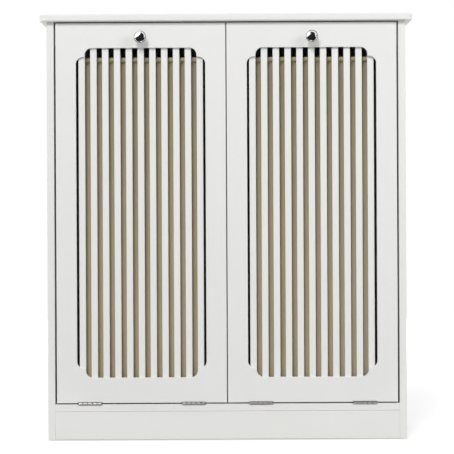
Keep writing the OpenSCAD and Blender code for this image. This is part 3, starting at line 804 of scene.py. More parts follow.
@dataclass
class Door:
    """A door: a frame board with a stepped opening, and a grille of slats behind its lip."""

    side: Side
    lip: float = 6 * MM
    edge: float = 0.8 * MM
    edge_steps: int = 4
    band_top: float = 52.6 * MM
    band_bottom: float = 53.3 * MM
    core_width: float = 236.5 * MM
    full_width: float = 273.5 * MM
    step: float = 19 * MM
    corner: float = 15 * MM
    corner_steps: int = 12
    play: float = 0.15 * MM
    slat_edge: Easing = Easing(1.0 * MM, 9 * MM)
    notch: float = 7.2 * MM
    notch_spare: float = 2.7 * MM
    notch_steps: int = 40

    def __post_init__(self) -> None:
        """Reads where the door is from the CAD."""
        self.low, self.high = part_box(self.side.named("door_frame"))
        self.body = self.side.named("door")

    def board(self, low: Vector, high: Vector, grow: float, y: float) -> list[Point]:
        """Returns the outline of a board at one depth, grown on all sides."""
        x0, x1, z0, z1 = low.x - grow, high.x + grow, low.z - grow, high.z + grow
        return [(x0, y, z0), (x1, y, z0), (x1, y, z1), (x0, y, z1)]

    def opening(self, grow: float, y: float) -> list[Point]:
        """Lays out the stepped opening at one depth.

        Args:
            grow: How much the rounding of its edge widens it.
            y: The depth.

        Returns:
            The points of its outline.
        """
        z0, z1 = self.low.z + self.band_bottom, self.high.z - self.band_top
        half, core, full = (s / 2 + grow for s in (z1 - z0, self.core_width, self.full_width))
        radius, step = self.corner + grow, half - self.step
        quarter = [*arc((full - radius, step - radius), radius, 0, 90, self.corner_steps),
                   (core, step),
                   *arc((core - radius, half - radius), radius, 0, 90, self.corner_steps)]
        upper = quarter + [(-x, z) for x, z in quarter[::-1]]
        across, up = (self.low.x + self.high.x) / 2, (z0 + z1) / 2
        return [(across + x, y, up + z) for x, z in upper + [(-x, -z) for x, z in upper]]

    def build_frame(self) -> None:
        """Makes the frame board, with its lip, its recess for the grille and its notches."""
        low, high, lip = self.low, self.high, self.low.y + self.lip
        steps = rounding(self.edge, self.edge_steps)
        sketch = Sketch()
        outer = sketch.loft([self.board(low, high, -i, low.y + d) for i, d in steps]
                            + [self.board(low, high, -i, high.y - d) for i, d in steps[::-1]])
        inner = sketch.loft([self.opening(i, low.y + d) for i, d in steps]
                            + [self.opening(0, lip)])
        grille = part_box(self.side.named("door_grille"))
        walls = sketch.loft(self.board(*grille, self.play, y) for y in (lip, high.y))
        sketch.cap(outer[0], inner[0])
        sketch.cap(walls[0], inner[-1])
        sketch.cap(outer[-1], walls[-1])
        piece = sketch.piece(self.side.named("door_board"))
        self.cut_notches(piece)
        place(piece, self.body, WHITE, self.side.named("door_frame"))

    def cut_notches(self, piece: Piece) -> None:
        """Cuts the round notches for the hinge barrels into the board's lower edge.

        Args:
            piece: The board.
        """
        cutter = Sketch()
        radius = self.notch / 2
        for low, high, _ in solids_of(self.side.named("hinge_door_leaves")):
            length = high.x - low.x + self.notch_spare
            start = ((low.x + high.x - length) / 2, *hinge_line())
            cutter.turn([(0, 0), (radius, 0), (radius, length), (0, length)],
                        axis_at(start, ALONG_X), self.notch_steps)
        tool = cutter.piece(self.side.named("notch_cutter"))
        cut = piece.modifiers.new("notches", "BOOLEAN")
        cut.operation, cut.solver, cut.object = "DIFFERENCE", "EXACT", tool
        graph = bpy.context.evaluated_depsgraph_get()
        bm = bmesh.new()
        bm.from_mesh(bpy.data.meshes.new_from_object(piece.evaluated_get(graph)))
        bpy.data.objects.remove(tool)
        piece.modifiers.clear()
        mark_sharp(bm, CREASE)
        bm.to_mesh(piece.data)
        bm.free()
        keep_flat(piece)

    def build(self) -> None:
        """Makes the door's frame, and its grille with rounded slats."""
        self.build_frame()
        self.slat_edge.board(self.side.named("door_grille"), self.side.named("slats"),
                             self.body, WHITE)


# Metalwork


def hinge_line() -> Flat:
    """Returns where the hinge pins run, as Y and Z."""
    low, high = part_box("hinge_pins")
    return (low.y + high.y) / 2, (low.z + high.z) / 2


@dataclass
class Knob:
    """A turned chrome knob with a domed face, a thin rim and a waisted neck.

    A pair is a radius, or a change of it, and a height above the door.
    """

    side: Side
    length: float = 25 * MM
    radius: float = 13 * MM
    foot: Flat = (6.2 * MM, 0.6 * MM)
    foot_edge: float = 0.5 * MM
    collar: Flat = (5.4 * MM, 1.3 * MM)
    neck: float = 4.6 * MM
    waist: Flat = (1.1 * MM, 1.5 * MM)
    waist_rise: float = 2.6 * MM
    flare: Flat = (6.6 * MM, 11.0 * MM)
    rim: float = 19 * MM
    bead: float = 0.75 * MM
    groove: Flat = (0.1 * MM, 18.75 * MM)
    dome_inset: float = 1.1 * MM
    steps: int = 72
    crease: float = 50.0

    def profile(self) -> list[Flat]:
        """Lays out the knob's outline.

        Returns:
            Radius and height of its points, from its foot to the crown of its dome.
        """
        dome, height = self.radius - self.dome_inset, self.length - self.rim
        ball = (dome * dome + height * height) / (2 * height)
        start = math.degrees(math.atan2(self.length - ball - self.rim, dome))
        width, edge, wider, bead = self.foot[0], self.foot_edge, self.waist[0], self.bead
        foot = [(0, 0), (width, 0), *arc((width - edge, self.foot[1]), edge, 0, 90, 3)]
        waist = [(self.neck + wider * (1 - math.sin(a)), self.waist[1] + self.waist_rise * a)
                 for a in spread(0, QUARTER, 8)]
        flare = arc((self.neck + self.flare[0], self.flare[1]), self.flare[0], 180, 97, 8)
        rim = arc((self.radius - bead, self.rim - bead), bead, -90, 110, 8)
        groove = (dome + self.groove[0], self.groove[1])
        crown = arc((0, self.length - ball), ball, -start, 90, 18)
        return [*foot, self.collar, *waist, *flare, *rim, groove, *crown]

    def build(self) -> None:
        """Turns the knob on the door's face."""
        low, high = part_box(self.side.named("knob"))
        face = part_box(self.side.named("door_frame"))[0].y
        base = axis_at(((low.x + high.x) / 2, face, (low.z + high.z) / 2), (0, -1, 0))
        sketch = Sketch()
        sketch.turn(self.profile(), base, self.steps)
        place(sketch.piece(self.side.named("chrome_knob"), self.crease), self.side.named("door"),
              CHROME, self.side.named("knob"))


def ends_of(low: Vector, high: Vector, points: Sequence[Vector],
            axis: int) -> tuple[list[Flat], bool]:
    """Reads the outline of a round CAD solid along its axis.

    Args:
        low: Its low corner.
        high: Its high corner.
        points: Its points.
        axis: The number of its axis.

    Returns:
        Radius and height of each step of its outline, from its head down, and whether the
        head is at the high end.
    """
    others = [a for a in range(3) if a != axis]
    widest: dict[float, list[float]] = {}
    for p in points:
        radius = math.hypot(*(p[a] - (low[a] + high[a]) / 2 for a in others))
        widest.setdefault(round(p[axis], 5), []).append(radius)
    levels = sorted(widest)
    head_high = max(widest[levels[-1]]) > max(widest[levels[0]])
    if head_high:
        levels.reverse()
    outline: list[Flat] = []
    for level in levels:
        depth = abs(level - levels[0])
        radii = sorted({round(r, 5) for r in widest[level]}, reverse=True)
        outline += [(r, depth) for r in (radii if outline else radii[:1]) if r > 0.01 * MM]
    return outline, head_high


@dataclass
class Screws:
    """Cross-recessed screws, turned to the outlines of the CAD's plain ones.

    The reach of the cross is a share of the head's radius, and its floor's a share of that.
    """

    node: str
    body: str
    axis: int
    cross: float = 0.55
    floor: float = 0.55
    arm: float = 0.17
    depth: float = 1.0 * MM
    deepest: float = 0.4
    point: float = 0.01 * MM
    steps: int = 32

    def recess(self, reach: float, height: float, base: Matrix) -> list[Vector]:
        """Lays out the recess at one depth.

        Args:
            reach: How far its arms reach.
            height: The depth.
            base: Where the screw is.

        Returns:
            Its twelve corners.
        """
        width = reach * self.arm / self.cross
        corner = [(width, reach), (width, width), (reach, width)]
        corners = []
        for _ in range(4):
            corners += [base @ Vector((x, y, height)) for x, y in corner]
            corner = [(y, -x) for x, y in corner]
        return corners

    def build(self) -> None:
        """Makes the screws of one node as one piece."""
        sketch = Sketch()
        for low, high, points in solids_of(self.node):
            outline, head_high = ends_of(low, high, points, self.axis)
            head, length = outline[0][0], outline[-1][1]
            way, origin = [0.0, 0.0, 0.0], [(a + b) / 2 for a, b in zip(low, high)]
            way[self.axis] = -1.0 if head_high else 1.0
            origin[self.axis] = (high if head_high else low)[self.axis]
            base = axis_at(origin, way)
            reach, depth = self.cross * head, min(self.depth, self.deepest * length)
            rim = sketch.add(ring(base, head, 0, self.steps))
            mouth = sketch.add(self.recess(reach, 0, base))
            floor = sketch.add(self.recess(self.floor * reach, depth, base))
            sketch.cap(rim, mouth)
            sketch.join([mouth, floor])
            sketch.cap(floor)
            sketch.turn([*outline, (0, length + self.point)], base, self.steps)
        place(sketch.piece(f"{self.node}_turned"), self.body, ZINC, self.node)


@dataclass
class Hinges:
    """Butt hinges with rounded knuckles."""

    node: str
    body: str
    barrel: float = 3 * MM
    rounding: float = 0.5 * MM
    parting: float = 0.5 * MM
    slack: float = 0.03 * MM
    rim_angle: float = 60.0

    def __post_init__(self) -> None:
        """Reads the hinge line from the CAD."""
        self.line = hinge_line()

    def reach(self, vert: bmesh.types.BMVert) -> float:
        """Returns how far a point is from the hinge line."""
        return math.hypot(vert.co.y - self.line[0], vert.co.z - self.line[1])

    def on_rim(self, edge: bmesh.types.BMEdge) -> bool:
        """Finds the edges round the ends of the knuckles.

        Args:
            edge: An edge.

        Returns:
            Whether it is one of them.
        """
        first, second = edge.verts
        on_barrel = all(abs(self.reach(v) - self.barrel) < self.slack for v in edge.verts)
        upright = abs(first.co.x - second.co.x) < 0.001 * MM
        return on_barrel and upright and edge.is_convex and folds_over(edge, self.rim_angle)

    def part(self, bm: Shape) -> None:
        """Draws the ends of the knuckles in, so that a dark line parts each from the next.

        Args:
            bm: The leaves.
        """
        moves = {}
        for vert in bm.verts:
            ends = [f.normal.x for f in vert.link_faces if abs(f.normal.x) > 0.9]
            if ends and self.reach(vert) < self.barrel + self.slack:
                moves[vert] = -math.copysign(self.parting, ends[0])
        for vert, move in moves.items():
            vert.co.x += move

    def build(self) -> None:
        """Makes the leaves of one node as one piece."""
        bm = welded(self.node)
        self.part(bm)
        round_off(bm, [e for e in bm.edges if self.on_rim(e)], self.rounding, 3, held=False)
        place(finished(bm, f"{self.node}_rounded"), self.body, NICKEL, self.node)


@dataclass
class HingePins:
    """The hinges' pins, whose heads are slightly domed."""

    radius: float = 1.5 * MM
    dome: float = 0.5 * MM
    dome_steps: int = 6
    steps: int = 32
    crease: float = 60.0

    def build(self) -> None:
        """Makes the four pins as one piece."""
        crown = [(self.radius * math.sin(a), self.dome * (1 - math.cos(a)))
                 for a in spread(0, QUARTER, self.dome_steps)]
        sketch = Sketch()
        for low, high, _ in solids_of("hinge_pins"):
            sketch.bar(low, high, crown, self.steps)
        place(sketch.piece("hinge_pins_domed", self.crease), "carcass", NICKEL, "hinge_pins")


@dataclass
class BagGear:
    """What carries a bag: two arms on the door, and two capped rods in the bag's hems."""

    side: Side
    rod: float = 4 * MM
    cap: float = 6.5 * MM
    cap_length: float = 2.5 * MM
    cap_edge: float = 0.5 * MM
    cap_face: float = 5.7 * MM
    arm_edge: Easing = Easing(0.7 * MM, 14 * MM)
    steps: int = 40

    def build(self) -> None:
        """Makes the arms and the rods."""
        arms, rods = self.side.named("bag_arms"), self.side.named("bag_rods")
        self.arm_edge.board(arms, f"{arms}_eased", self.side.named("door"), WHITE)
        soft, inner, length = self.cap_edge, self.cap - self.cap_edge, self.cap_length
        end = [(0, 0), (self.cap_face, 0), *arc((inner, soft), soft, -90, 0, 5),
               (self.cap, length - soft), *arc((inner, length - soft), soft, 0, 90, 4),
               (self.rod, length)]
        sketch = Sketch()
        for low, high, _ in solids_of(rods):
            sketch.bar(low, high, end, self.steps)
        place(sketch.piece(f"{rods}_capped"), self.side.named("bag"), BLACK, rods)


# Bag


@dataclass
class Bag:
    """A sewn cloth bag that hangs from two rods and sags between them.

    One strip makes the front, the base and the rear. A panel closes each side, under a
    hemmed mouth that slopes down to the rear rod. A pair for folds or creases is how many
    there are in a metre, across the cloth and down it.
    """

    side: Side
    # Sizes of the sewn bag.
    tuck: float = 0.6 * MM
    curve: float = 11 * MM
    cloth: float = 1.1 * MM
    hem_cloth: float = 0.9 * MM
    tube: float = 5.35 * MM
    crease: float = 6.3 * MM
    band_rows: int = 6
    band_out: float = 0.7 * MM
    band_in: float = 1.9 * MM
    band_top: float = 0.6 * MM
    band_crease: float = 50.0
    seam: float = 1.3 * MM
    stitch: float = 3.2 * MM
    stitch_pitch: float = 4.6 * MM
    stitch_row: int = 5
    # Steps of its mesh. The first ones below a rod are given by their depths.
    across: int = 72
    deep: int = 40
    wall: int = 46
    bend: int = 6
    hem_steps: tuple[int, int] = (120, 24)
    near: tuple[float, ...] = (0, 1.5 * MM, 3.5 * MM, 6 * MM, 9 * MM, 12 * MM, 15 * MM)
    widening: float = 1.15
    # How it hangs and sags.
    start_out: float = 0.6 * MM
    shoulder: float = 16 * MM
    mouth_sag: float = 15 * MM
    mouth_depth: float = 1.6
    belly: float = 9 * MM
    base_sag: float = 4 * MM
    grounded: float = 60 * MM
    # Its folds and creases.
    fold: float = 3.4 * MM
    folds: Flat = (15, 2.1)
    fold_start: float = 70 * MM
    creases: Flat = (42, 17)
    crease_depth: float = 0.45 * MM
    gather: float = 13 * MM
    gather_pitch: float = 8.5 * MM
    base_creases: Flat = (26, 26)
    base_crease_depth: float = 1.2 * MM
    side_fold: float = 3.6 * MM
    side_folds: Flat = (13, 2.2)
    side_creases: Flat = (45, 18)
    side_crease_depth: float = 0.5 * MM
    hem_creases: Flat = (130, 1.6)
    hem_crease_depth: float = 0.18 * MM

    def __post_init__(self) -> None:
        """Reads the bag's size and its rods from the CAD, and lays out the strip's path."""
        low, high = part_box(self.side.named("bag"))
        self.middle, self.half, self.base = (low.x + high.x) / 2, (high.x - low.x) / 2, low.z
        self.front, self.rear = low.y + self.tuck, high.y - self.tuck
        self.rods = sorted(((a.y + b.y) / 2, (a.z + b.z) / 2)
                           for a, b, _ in solids_of(self.side.named("bag_rods")))
        self.body = self.side.named("bag")
        self.seed = 3.7 if self.side is Side.LEFT else 11.2
        down, up = self.wall_path(0), self.wall_path(1)
        floor = spread(self.front + self.curve, self.rear - self.curve, self.deep)[1:-1]
        self.path = down + [(y, self.base) for y in floor] + up[::-1]
        self.last = len(self.path) - 1
        self.turns = len(down) - 1

    def wall_path(self, which: int) -> list[Flat]:
        """Lays out the path down one wall to the start of the base.

        Args:
            which: 0 for the front wall and 1 for the rear one.

        Returns:
            Its points, as Y and Z.
        """
        rod_y, rod_z = self.rods[which]
        out, face = (-1, 1)[which], (self.front, self.rear)[which]
        top, low = rod_z - self.crease, self.base + self.curve
        last, start = self.near[-1], rod_y + out * self.start_out
        rest = spread(0, 1, self.wall - len(self.near) + 1)[1:]
        points = []
        for depth in [*self.near, *(last + (top - low - last) * k ** self.widening for k in rest)]:
            share = min(1.0, depth / self.shoulder)
            points.append((start + (face - start) * share * share * (3 - 2 * share), top - depth))
        turn = (180, 270) if which == 0 else (0, -90)
        return points + arc((face - out * self.curve, low), self.curve, *turn, self.bend)[1:]

    def freedom(self, x: float) -> float:
        """Returns how free the strip is to move: 1 at its middle, and 0 at its seams."""
        return max(0.0, 1 - (x / self.half) ** 2)

    def rumple(self, a: float, b: float, pitch: Flat, shift: float = 0.0) -> float:
        """Returns a smooth unevenness from -1 to 1 at a place on the cloth."""
        return noise.noise(Vector((a * pitch[0], b * pitch[1], self.seed + shift)))

    def hollow(self, x: float, y: float, z: float) -> float:
        """Works out how far the cloth falls inwards on the front or rear.

        Args:
            x: Distance from the strip's middle.
            y: Place from front to rear.
            z: Height.

        Returns:
            The distance.
        """
        depth = max(0.0, self.rods[0 if y < 0 else 1][1] - self.crease - z)
        grown = 1 - math.exp(-depth / self.fold_start)
        slack = max(0.0, 0.35 + 1.15 * self.rumple(x, z, self.folds, 9 * y)) ** 1.4
        fine = self.crease_depth * (1 + self.rumple(x, z, self.creases))
        wander = 3 * noise.noise(Vector((x * 30, 0, 2)))
        gathered = self.crease_depth * math.exp(-depth / self.gather)
        pucker = gathered * (1 + math.sin(math.tau * x / self.gather_pitch + wander))
        free = self.freedom(x)
        return free ** 0.5 * grown * (self.fold * slack + fine) + free ** 0.2 * pucker

    def strip_point(self, i: int, x: float) -> Point:
        """Finds a point of the strip.

        Args:
            i: Its step on the strip's path.
            x: Its distance from the strip's middle.

        Returns:
            The point.
        """
        y, z = self.path[i]
        if self.turns <= i <= self.turns + self.deep:
            along, free = (i - self.turns) / self.deep, self.freedom(x)
            arch = math.sin(math.pi * along)
            sag = self.base_sag * free ** 0.7 * arch ** 0.7
            crumple = self.base_crease_depth * self.rumple(x, y, self.base_creases) * free * arch
            return (self.middle + x, y, z - sag + crumple)
        into = 1 if y < 0 else -1
        level = min(1.0, max(0.0, (z - self.base) / (3 * self.curve)))
        return (self.middle + x, y + into * self.hollow(x, y, z) * level, z)

    def side_point(self, j: int, share: float, out: int) -> Point:
        """Finds a point of a side panel.

        Args:
            j: Its row, from the mouth down.
            share: How far back it is, from 0 to 1.
            out: The sign of X of the side.

        Returns:
            The point.
        """
        (y0, z0), (y1, z1) = self.path[j], self.path[self.last - j]
        y, z = y0 + (y1 - y0) * share, z0 + (z1 - z0) * share
        down, arch = j / self.turns, math.sin(math.pi * share)
        drop = 4 * share * (1 - share) * max(0.0, 1 - down * self.mouth_depth) ** 2
        fold = (self.side_fold * max(0.0, 0.3 + self.rumple(y, z, self.side_folds, 5 * out))
                + self.side_crease_depth * self.rumple(y, z, self.side_creases))
        into = self.belly * arch ** 0.8 * (0.55 + 0.45 * (1 - down)) + fold * arch ** 0.5
        into *= min(1.0, (z - self.base) / self.grounded) ** 0.6
        return (self.middle + out * (self.half - into), y, z - self.mouth_sag * drop)

    def side_row(self, j: int, out: int) -> list[Point]:
        """Lays out one row of a side panel, whose ends lie on the strip.

        Args:
            j: Its row, from the mouth down.
            out: The sign of X of the side.

        Returns:
            Its points.
        """
        edge = out * self.half
        if j == self.turns:
            return [self.strip_point(j + k, edge) for k in range(self.deep + 1)]
        inner = [self.side_point(j, share, out) for share in spread(0, 1, self.deep)[1:-1]]
        return [self.strip_point(j, edge), *inner, self.strip_point(self.last - j, edge)]

    def build_shell(self) -> None:
        """Makes the strip and the two side panels as one sheet of cloth."""
        lengths = [0.0]
        for ends in zip(self.path, self.path[1:]):
            lengths.append(lengths[-1] + math.dist(*ends))
        spans = spread(-self.half, self.half, self.across)
        sketch = Sketch()
        sketch.cloth(([self.strip_point(i, x) for x in spans], [(x, length) for x in spans])
                     for i, length in enumerate(lengths))
        for out in (-1, 1):
            rows = [self.side_row(j, out) for j in range(self.turns + 1)]
            sketch.cloth((row, [p[1:] for p in row]) for row in rows)
        piece = sketch.piece(self.side.named("bag_shell"), SOFT_CREASE)
        thicken(piece, self.cloth)
        place(piece, self.body, KHAKI, self.side.named("bag"))

    def hem_row(self, x: float, rod: Flat) -> tuple[list[Point], list[Flat]]:
        """Lays out one ring of a hem, which the hanging cloth draws to an edge below.

        Args:
            x: Its distance from the bag's middle.
            rod: Y and Z of the rod.

        Returns:
            Its points, and where each lies in the weave.
        """
        points, threads = [], []
        for angle in spread(-QUARTER, 3 * QUARTER, self.hem_steps[1]):
            edge = max(0.0, -math.sin(angle)) ** 10
            pucker = self.rumple(x, math.cos(angle), self.hem_creases, rod[0] * 40)
            radius = (self.tube + (self.crease - self.tube) * edge
                      + self.hem_crease_depth * pucker * (1 - edge))
            y = rod[0] + radius * math.cos(angle) * (1 - 0.35 * edge)
            points.append((self.middle + x, y, rod[1] + radius * math.sin(angle)))
            threads.append((x, self.tube * angle))
        return points, threads

    def build_hems(self) -> None:
        """Makes the hems round the rods."""
        sketch = Sketch()
        spans = spread(-self.half, self.half, self.hem_steps[0])
        for rod in self.rods:
            sketch.cloth(self.hem_row(x, rod) for x in spans)
        piece = sketch.piece(self.side.named("bag_hems"), SOFT_CREASE)
        thicken(piece, self.hem_cloth)
        place(piece, self.body, HEM)

    def band_row(self, share: float, out: int) -> list[Point]:
        """Lays out one ring of the folded band along a side of the mouth.

        Args:
            share: How far back it is, from 0 to 1.
            out: The sign of X of the side.

        Returns:
            Its points, the first of them again at the end.
        """
        points = [self.side_point(j, share, out) for j in range(self.band_rows + 1)]
        face = [(x + out * self.band_out, y, z) for x, y, z in points]
        back = [(x - out * self.band_in, y, z) for x, y, z in points[::-1]]
        x, y, z = points[0]
        over = [(x - out * inset, y, z + self.band_top)
                for inset in (self.band_in - self.band_top, self.band_top - self.band_out)]
        return face + back + over + face[:1]

    def build_mouth(self) -> None:
        """Makes the folded bands along the sides of the mouth."""
        sketch = Sketch()
        for out in (-1, 1):
            rows = [self.band_row(share, out) for share in spread(0, 1, self.deep)[1:-1]]
            sketch.cloth(((row, [p[1:] for p in row]) for row in rows), tube=True)
        place(sketch.piece(self.side.named("bag_mouth_bands"), self.band_crease), self.body, HEM)

    def build_seams(self) -> None:
        """Makes the sewn ridges where the side panels meet the strip."""
        sketch = Sketch()
        across, turns = Vector(ALONG_X), spread(0, math.tau, 8)
        for edge in (-self.half, self.half):
            points = [Vector(self.strip_point(i, edge)) for i in range(1, self.last)]
            before, after = points[:1] + points, points[1:] + points[-1:]
            rows, length = [], 0.0
            for behind, p, ahead in zip(before, points, after):
                length += (p - behind).length
                normal = (ahead - behind).normalized().cross(across)
                rows.append(([p + self.seam * (math.cos(a) * normal + math.sin(a) * across)
                              for a in turns], [(length, self.seam * a) for a in turns]))
            sketch.cloth(rows, tube=True)
        place(sketch.piece(self.side.named("bag_seams"), SOFT_CREASE), self.body, HEM)

    def dash(self, sketch: Sketch, ends: Iterable[Point], out: Vector, lift: float) -> None:
        """Adds one stitch between two points on the cloth.

        Args:
            sketch: Where it goes.
            ends: Its two ends.
            out: The way out of the cloth.
            lift: How far out the cloth's surface is from those points.
        """
        start, end = (Vector(p) + lift * out for p in ends)
        across = (end - start).normalized().cross(out)
        rings = []
        for share, width in ((0.0, 0.12), (0.15, 0.3), (0.5, 0.36), (0.85, 0.3), (1.0, 0.12)):
            rise = (0.1 + 0.22 * math.sin(math.pi * share)) * MM
            centre = start.lerp(end, share) + out * rise
            rings.append([centre + width * MM * (math.cos(a) * out + math.sin(a) * across)
                          for a in spread(0, math.tau, 6)[:-1]])
        rows = sketch.loft(rings)
        sketch.cap(rows[0])
        sketch.cap(rows[-1])

    def build_stitches(self) -> None:
        """Makes the rows of stitches under the hems and along the mouth."""
        sketch = Sketch()
        reach = (0.0, self.stitch)
        count = int(2 * (self.half - 4 * MM) / self.stitch_pitch)
        for row, out in ((1, -1), (self.last - 1, 1)):
            for k in range(count):
                x = (k - count / 2) * self.stitch_pitch
                self.dash(sketch, [self.strip_point(row, x + d) for d in reach],
                          Vector((0, out, 0)), 0.0)
        span = self.rods[1][0] - self.rods[0][0]
        for out in (-1, 1):
            for k in range(2, int(span / self.stitch_pitch) - 3):
                shares = [(k * self.stitch_pitch + d) / span for d in reach]
                self.dash(sketch, [self.side_point(self.stitch_row, s, out) for s in shares],
                          Vector((out, 0, 0)), self.band_out)
        place(sketch.piece(self.side.named("bag_stitches"), SOFT_CREASE), self.body, STITCH)

    def build(self) -> None:
        """Makes the bag's cloth, hems, seams and stitches."""
        self.build_shell()
        self.build_hems()
        self.build_mouth()
        self.build_seams()
        self.build_stitches()


# Studio


@dataclass(frozen=True)
class Shell:
    """Part of a sphere in front of the cabinet, which only its metal sees.

    Its reach is its near and far edges, in degrees off the line from the middle to the
    front. Its clock is its first and last edges round that line, in degrees from the right.
    """

    name: str
    middle: Point
    radius: float
    reach: Flat
    clock: Flat
    dark: float = 0.02

    def light(self, g: Graph) -> object:
        """Returns the shell's brightness, which is even."""
        return 1.0

    def way(self, off: float, clock: float) -> Vector:
        """Returns the way from the middle at two angles in degrees."""
        tilt, turn = math.radians(off), math.radians(clock)
        across = math.sin(tilt)
        return Vector((across * math.cos(turn), -math.cos(tilt), across * math.sin(turn)))

    def hang(self) -> None:
        """Makes the shell."""
        material = bpy.data.materials.new(self.name)
        g = Graph(material)
        g.shine(self.light(g))
        sketch = Sketch()
        sketch.loft([[Vector(self.middle) + self.radius * self.way(off, clock)
                      for clock in spread(*self.clock, 48)]
                     for off in spread(*self.reach, 16)], closed=False)
        shell = sketch.piece(self.name)
        shell.data.materials.append(material)
        for ray in ("camera", "diffuse", "transmission", "volume_scatter", "shadow"):
            setattr(shell, f"visible_{ray}", False)


@dataclass(frozen=True)
class DarkRoom(Shell):
    """A dark shell with a bright rim above and a short one below."""

    rim: float = 75.0
    above: Flat = (12.0, 180.0)
    below: Flat = (-102.0, -72.0)

    def light(self, g: Graph) -> Socket:
        """Draws the rims.

        Args:
            g: The shell's nodes.

        Returns:
            Its brightness.
        """
        spot = g.add("SeparateXYZ", {0: g.where()}).outputs
        clock = g.calc("ARCTAN2", g.calc("SUBTRACT", spot[2], self.middle[2]), spot[0])
        above, below = (g.calc("COMPARE", clock, math.radians((a + b) / 2),
                               math.radians((b - a) / 2)) for a, b in (self.above, self.below))
        edge = self.middle[1] - self.radius * math.cos(math.radians(self.rim))
        rim = g.calc("GREATER_THAN", spot[1], edge)
        return g.between(g.product(rim, g.calc("MAXIMUM", above, below)), self.dark, 1.0)


@dataclass(frozen=True)
class SoftBox(Shell):
    """A round soft box with a ragged edge, up on the left of a dark shell."""

    off: float = 84.0
    turn: float = 139.0
    size: float = 48.0
    bright: float = 1.5
    tears: float = 5.0
    torn: float = 0.6
    edge: Flat = (0.28, 0.34)

    def light(self, g: Graph) -> Socket:
        """Draws the soft box.

        Args:
            g: The shell's nodes.

        Returns:
            Its brightness.
        """
        way = self.way(self.off, self.turn)
        near = g.add("VectorMath", {0: g.where(), 1: way}, operation="DOT_PRODUCT")
        start = way.dot(self.middle) + self.radius * math.cos(math.radians(self.size))
        torn = g.calc("MULTIPLY_ADD", g.noise(self.tears, 1), self.torn * self.radius,
                      near.outputs["Value"])
        ends = (start + share * self.radius for share in self.edge)
        return g.between(torn, self.dark, self.bright, *ends)


@dataclass(frozen=True)
class Lamp:
    """A square soft lamp, with its width in metres and its power in watts."""

    name: str
    at: Point
    size: float
    power: float
    mirrored: bool = False

    def hang(self, aim: Point) -> None:
        """Hangs the lamp.

        Args:
            aim: What it points at.
        """
        data = bpy.data.lights.new(self.name, "AREA")
        data.size, data.energy = self.size, self.power
        lamp = bpy.data.objects.new(self.name, data)
        lamp.matrix_world = axis_at(self.at, Vector(self.at) - Vector(aim))
        lamp.visible_glossy = self.mirrored
        bpy.context.scene.collection.objects.link(lamp)


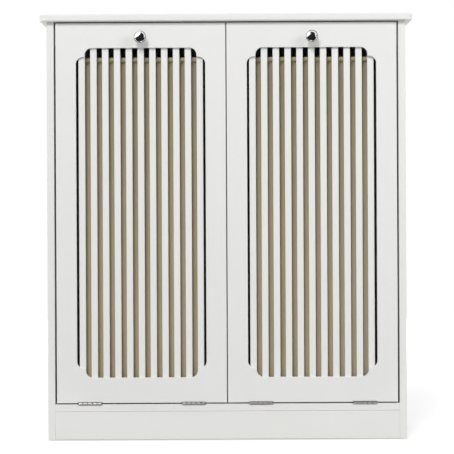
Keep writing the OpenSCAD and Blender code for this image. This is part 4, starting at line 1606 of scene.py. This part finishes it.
@dataclass
class Studio:
    """A pale floor, soft light from the upper left, and the photograph's camera."""

    distance: float = 3.0
    sensor: float = 36.0
    eye: float = 0.5
    middle: float = 0.4505
    front: float = -0.1565
    frame_width: float = 0.9588
    aside: float = 0.0008
    lean: float = 0.28
    knob_height: float = 0.851
    floor_sides: Flat = (-6.0, 6.0)
    floor_rows: tuple[float, ...] = (-6.0, 0.0, 3.0)
    floor_pale: Point = (0.56, 0.56, 0.56)
    floor_grey: Point = (0.54, 0.54, 0.54)
    floor_middle: Point = (0, 0.35, 0)
    floor_glow: Flat = (0.52, 0.98)
    floor_reach: Flat = (0.4, 1.3)
    sky: float = 0.32
    lamps: tuple[Lamp, ...] = (
        Lamp("key", (-1.5, -5.6, 4.8), 1.85, 266, mirrored=True),
        Lamp("left_side", (-4.6, 0.4, 1.5), 1.8, 55),
        Lamp("right_side", (4.6, 0.4, 1.5), 1.8, 24),
        Lamp("right_front", (2.2, -1.8, 1.7), 0.9, 22),
        Lamp("rear", (-0.8, 4.8, 1.7), 2.2, 120),
    )

    def build_floor(self) -> None:
        """Makes the floor: white to the camera far out, and still shaded by the object."""
        sketch = Sketch()
        sketch.loft([[(x, y, 0.0) for x in self.floor_sides] for y in self.floor_rows],
                    closed=False)
        material = bpy.data.materials.new("pale_floor")
        g = Graph(material)
        g.dress(Base_Color=g.blend(g.noise(3, 3), self.floor_pale, self.floor_grey),
                Roughness=0.9, Specular_IOR_Level=0.1)
        far = g.add("VectorMath", {0: g.where(), 1: self.floor_middle}, operation="DISTANCE")
        level = g.between(far.outputs["Value"], *self.floor_glow, *self.floor_reach,
                          interpolation_type="SMOOTHSTEP")
        g.shine(g.product(g.seen(), level), g.shader.outputs[0])
        floor = sketch.piece("pale_floor")
        floor.data.materials.append(material)

    def build_world(self) -> None:
        """Sets the world: white to the camera and in reflections, dimmer as light."""
        world = bpy.data.worlds.new("soft_white")
        bpy.context.scene.world = world
        g = Graph(world)
        g.dress(Color=(1, 1, 1), Strength=g.between(g.seen(), self.sky, 1.0))

    def build_camera(self) -> None:
        """Sets the camera level with the photograph's."""
        data = bpy.data.cameras.new("photo_camera")
        data.sensor_width, data.lens = self.sensor, self.sensor * self.distance / self.frame_width
        data.shift_y = (self.middle - self.eye) / self.frame_width
        camera = bpy.data.objects.new("photo_camera", data)
        camera.location = (self.aside, self.front - self.distance, self.eye)
        camera.rotation_euler = (QUARTER, math.radians(self.lean), 0.0)
        bpy.context.scene.collection.objects.link(camera)
        bpy.context.scene.camera = camera

    def build(self) -> None:
        """Sets up floor, light and camera."""
        bpy.context.scene.view_settings.view_transform = "Standard"
        self.build_floor()
        self.build_world()
        for lamp in self.lamps:
            lamp.hang((0.0, 0.0, self.middle))
        knobs = (0.0, self.front, self.knob_height)
        DarkRoom("dark_room", knobs, 0.82, (0, 88), (0, 360)).hang()
        Shell("window", knobs, 0.79, (66, 80), (-10, 30)).hang()
        SoftBox("soft_box", knobs, 0.80, (20, 88), (88, 190)).hang()
        self.build_camera()


def main() -> None:
    """Builds the studio, the cabinet's pieces and their finishes."""
    logging.basicConfig(level=logging.INFO, format="%(name)s: %(message)s")
    Studio().build()
    Boards().build()
    TopBoard().build()
    HingePins().build()
    Hinges("hinge_cabinet_leaves", "carcass").build()
    Screws("hinge_cabinet_screws", "carcass", 2).build()
    for side in Side:
        door = side.named("door")
        Door(side).build()
        Knob(side).build()
        Hinges(side.named("hinge_door_leaves"), door).build()
        Screws(side.named("hinge_door_screws"), door, 2).build()
        for stem in ("grille_screws", "stay_screws", "catch_screw"):
            Screws(side.named(stem), door, 1).build()
        BagGear(side).build()
        Bag(side).build()
        for stem in ("stay_arm", "arm_brackets", "bracket_screws", "catch_strike", "knob_screw"):
            dress_node(side.named(stem), ZINC)
        dress_node(side.named("door_bumpers"), RUBBER)
    for node in ("cam_locks", "cam_bolts", "catch_magnets", "stay_studs"):
        dress_node(node, ZINC)
    dress_node("wood_dowels", WOOD)
    dress_node("floor_glides", GLIDE)


if __name__ == "__main__":
    main()
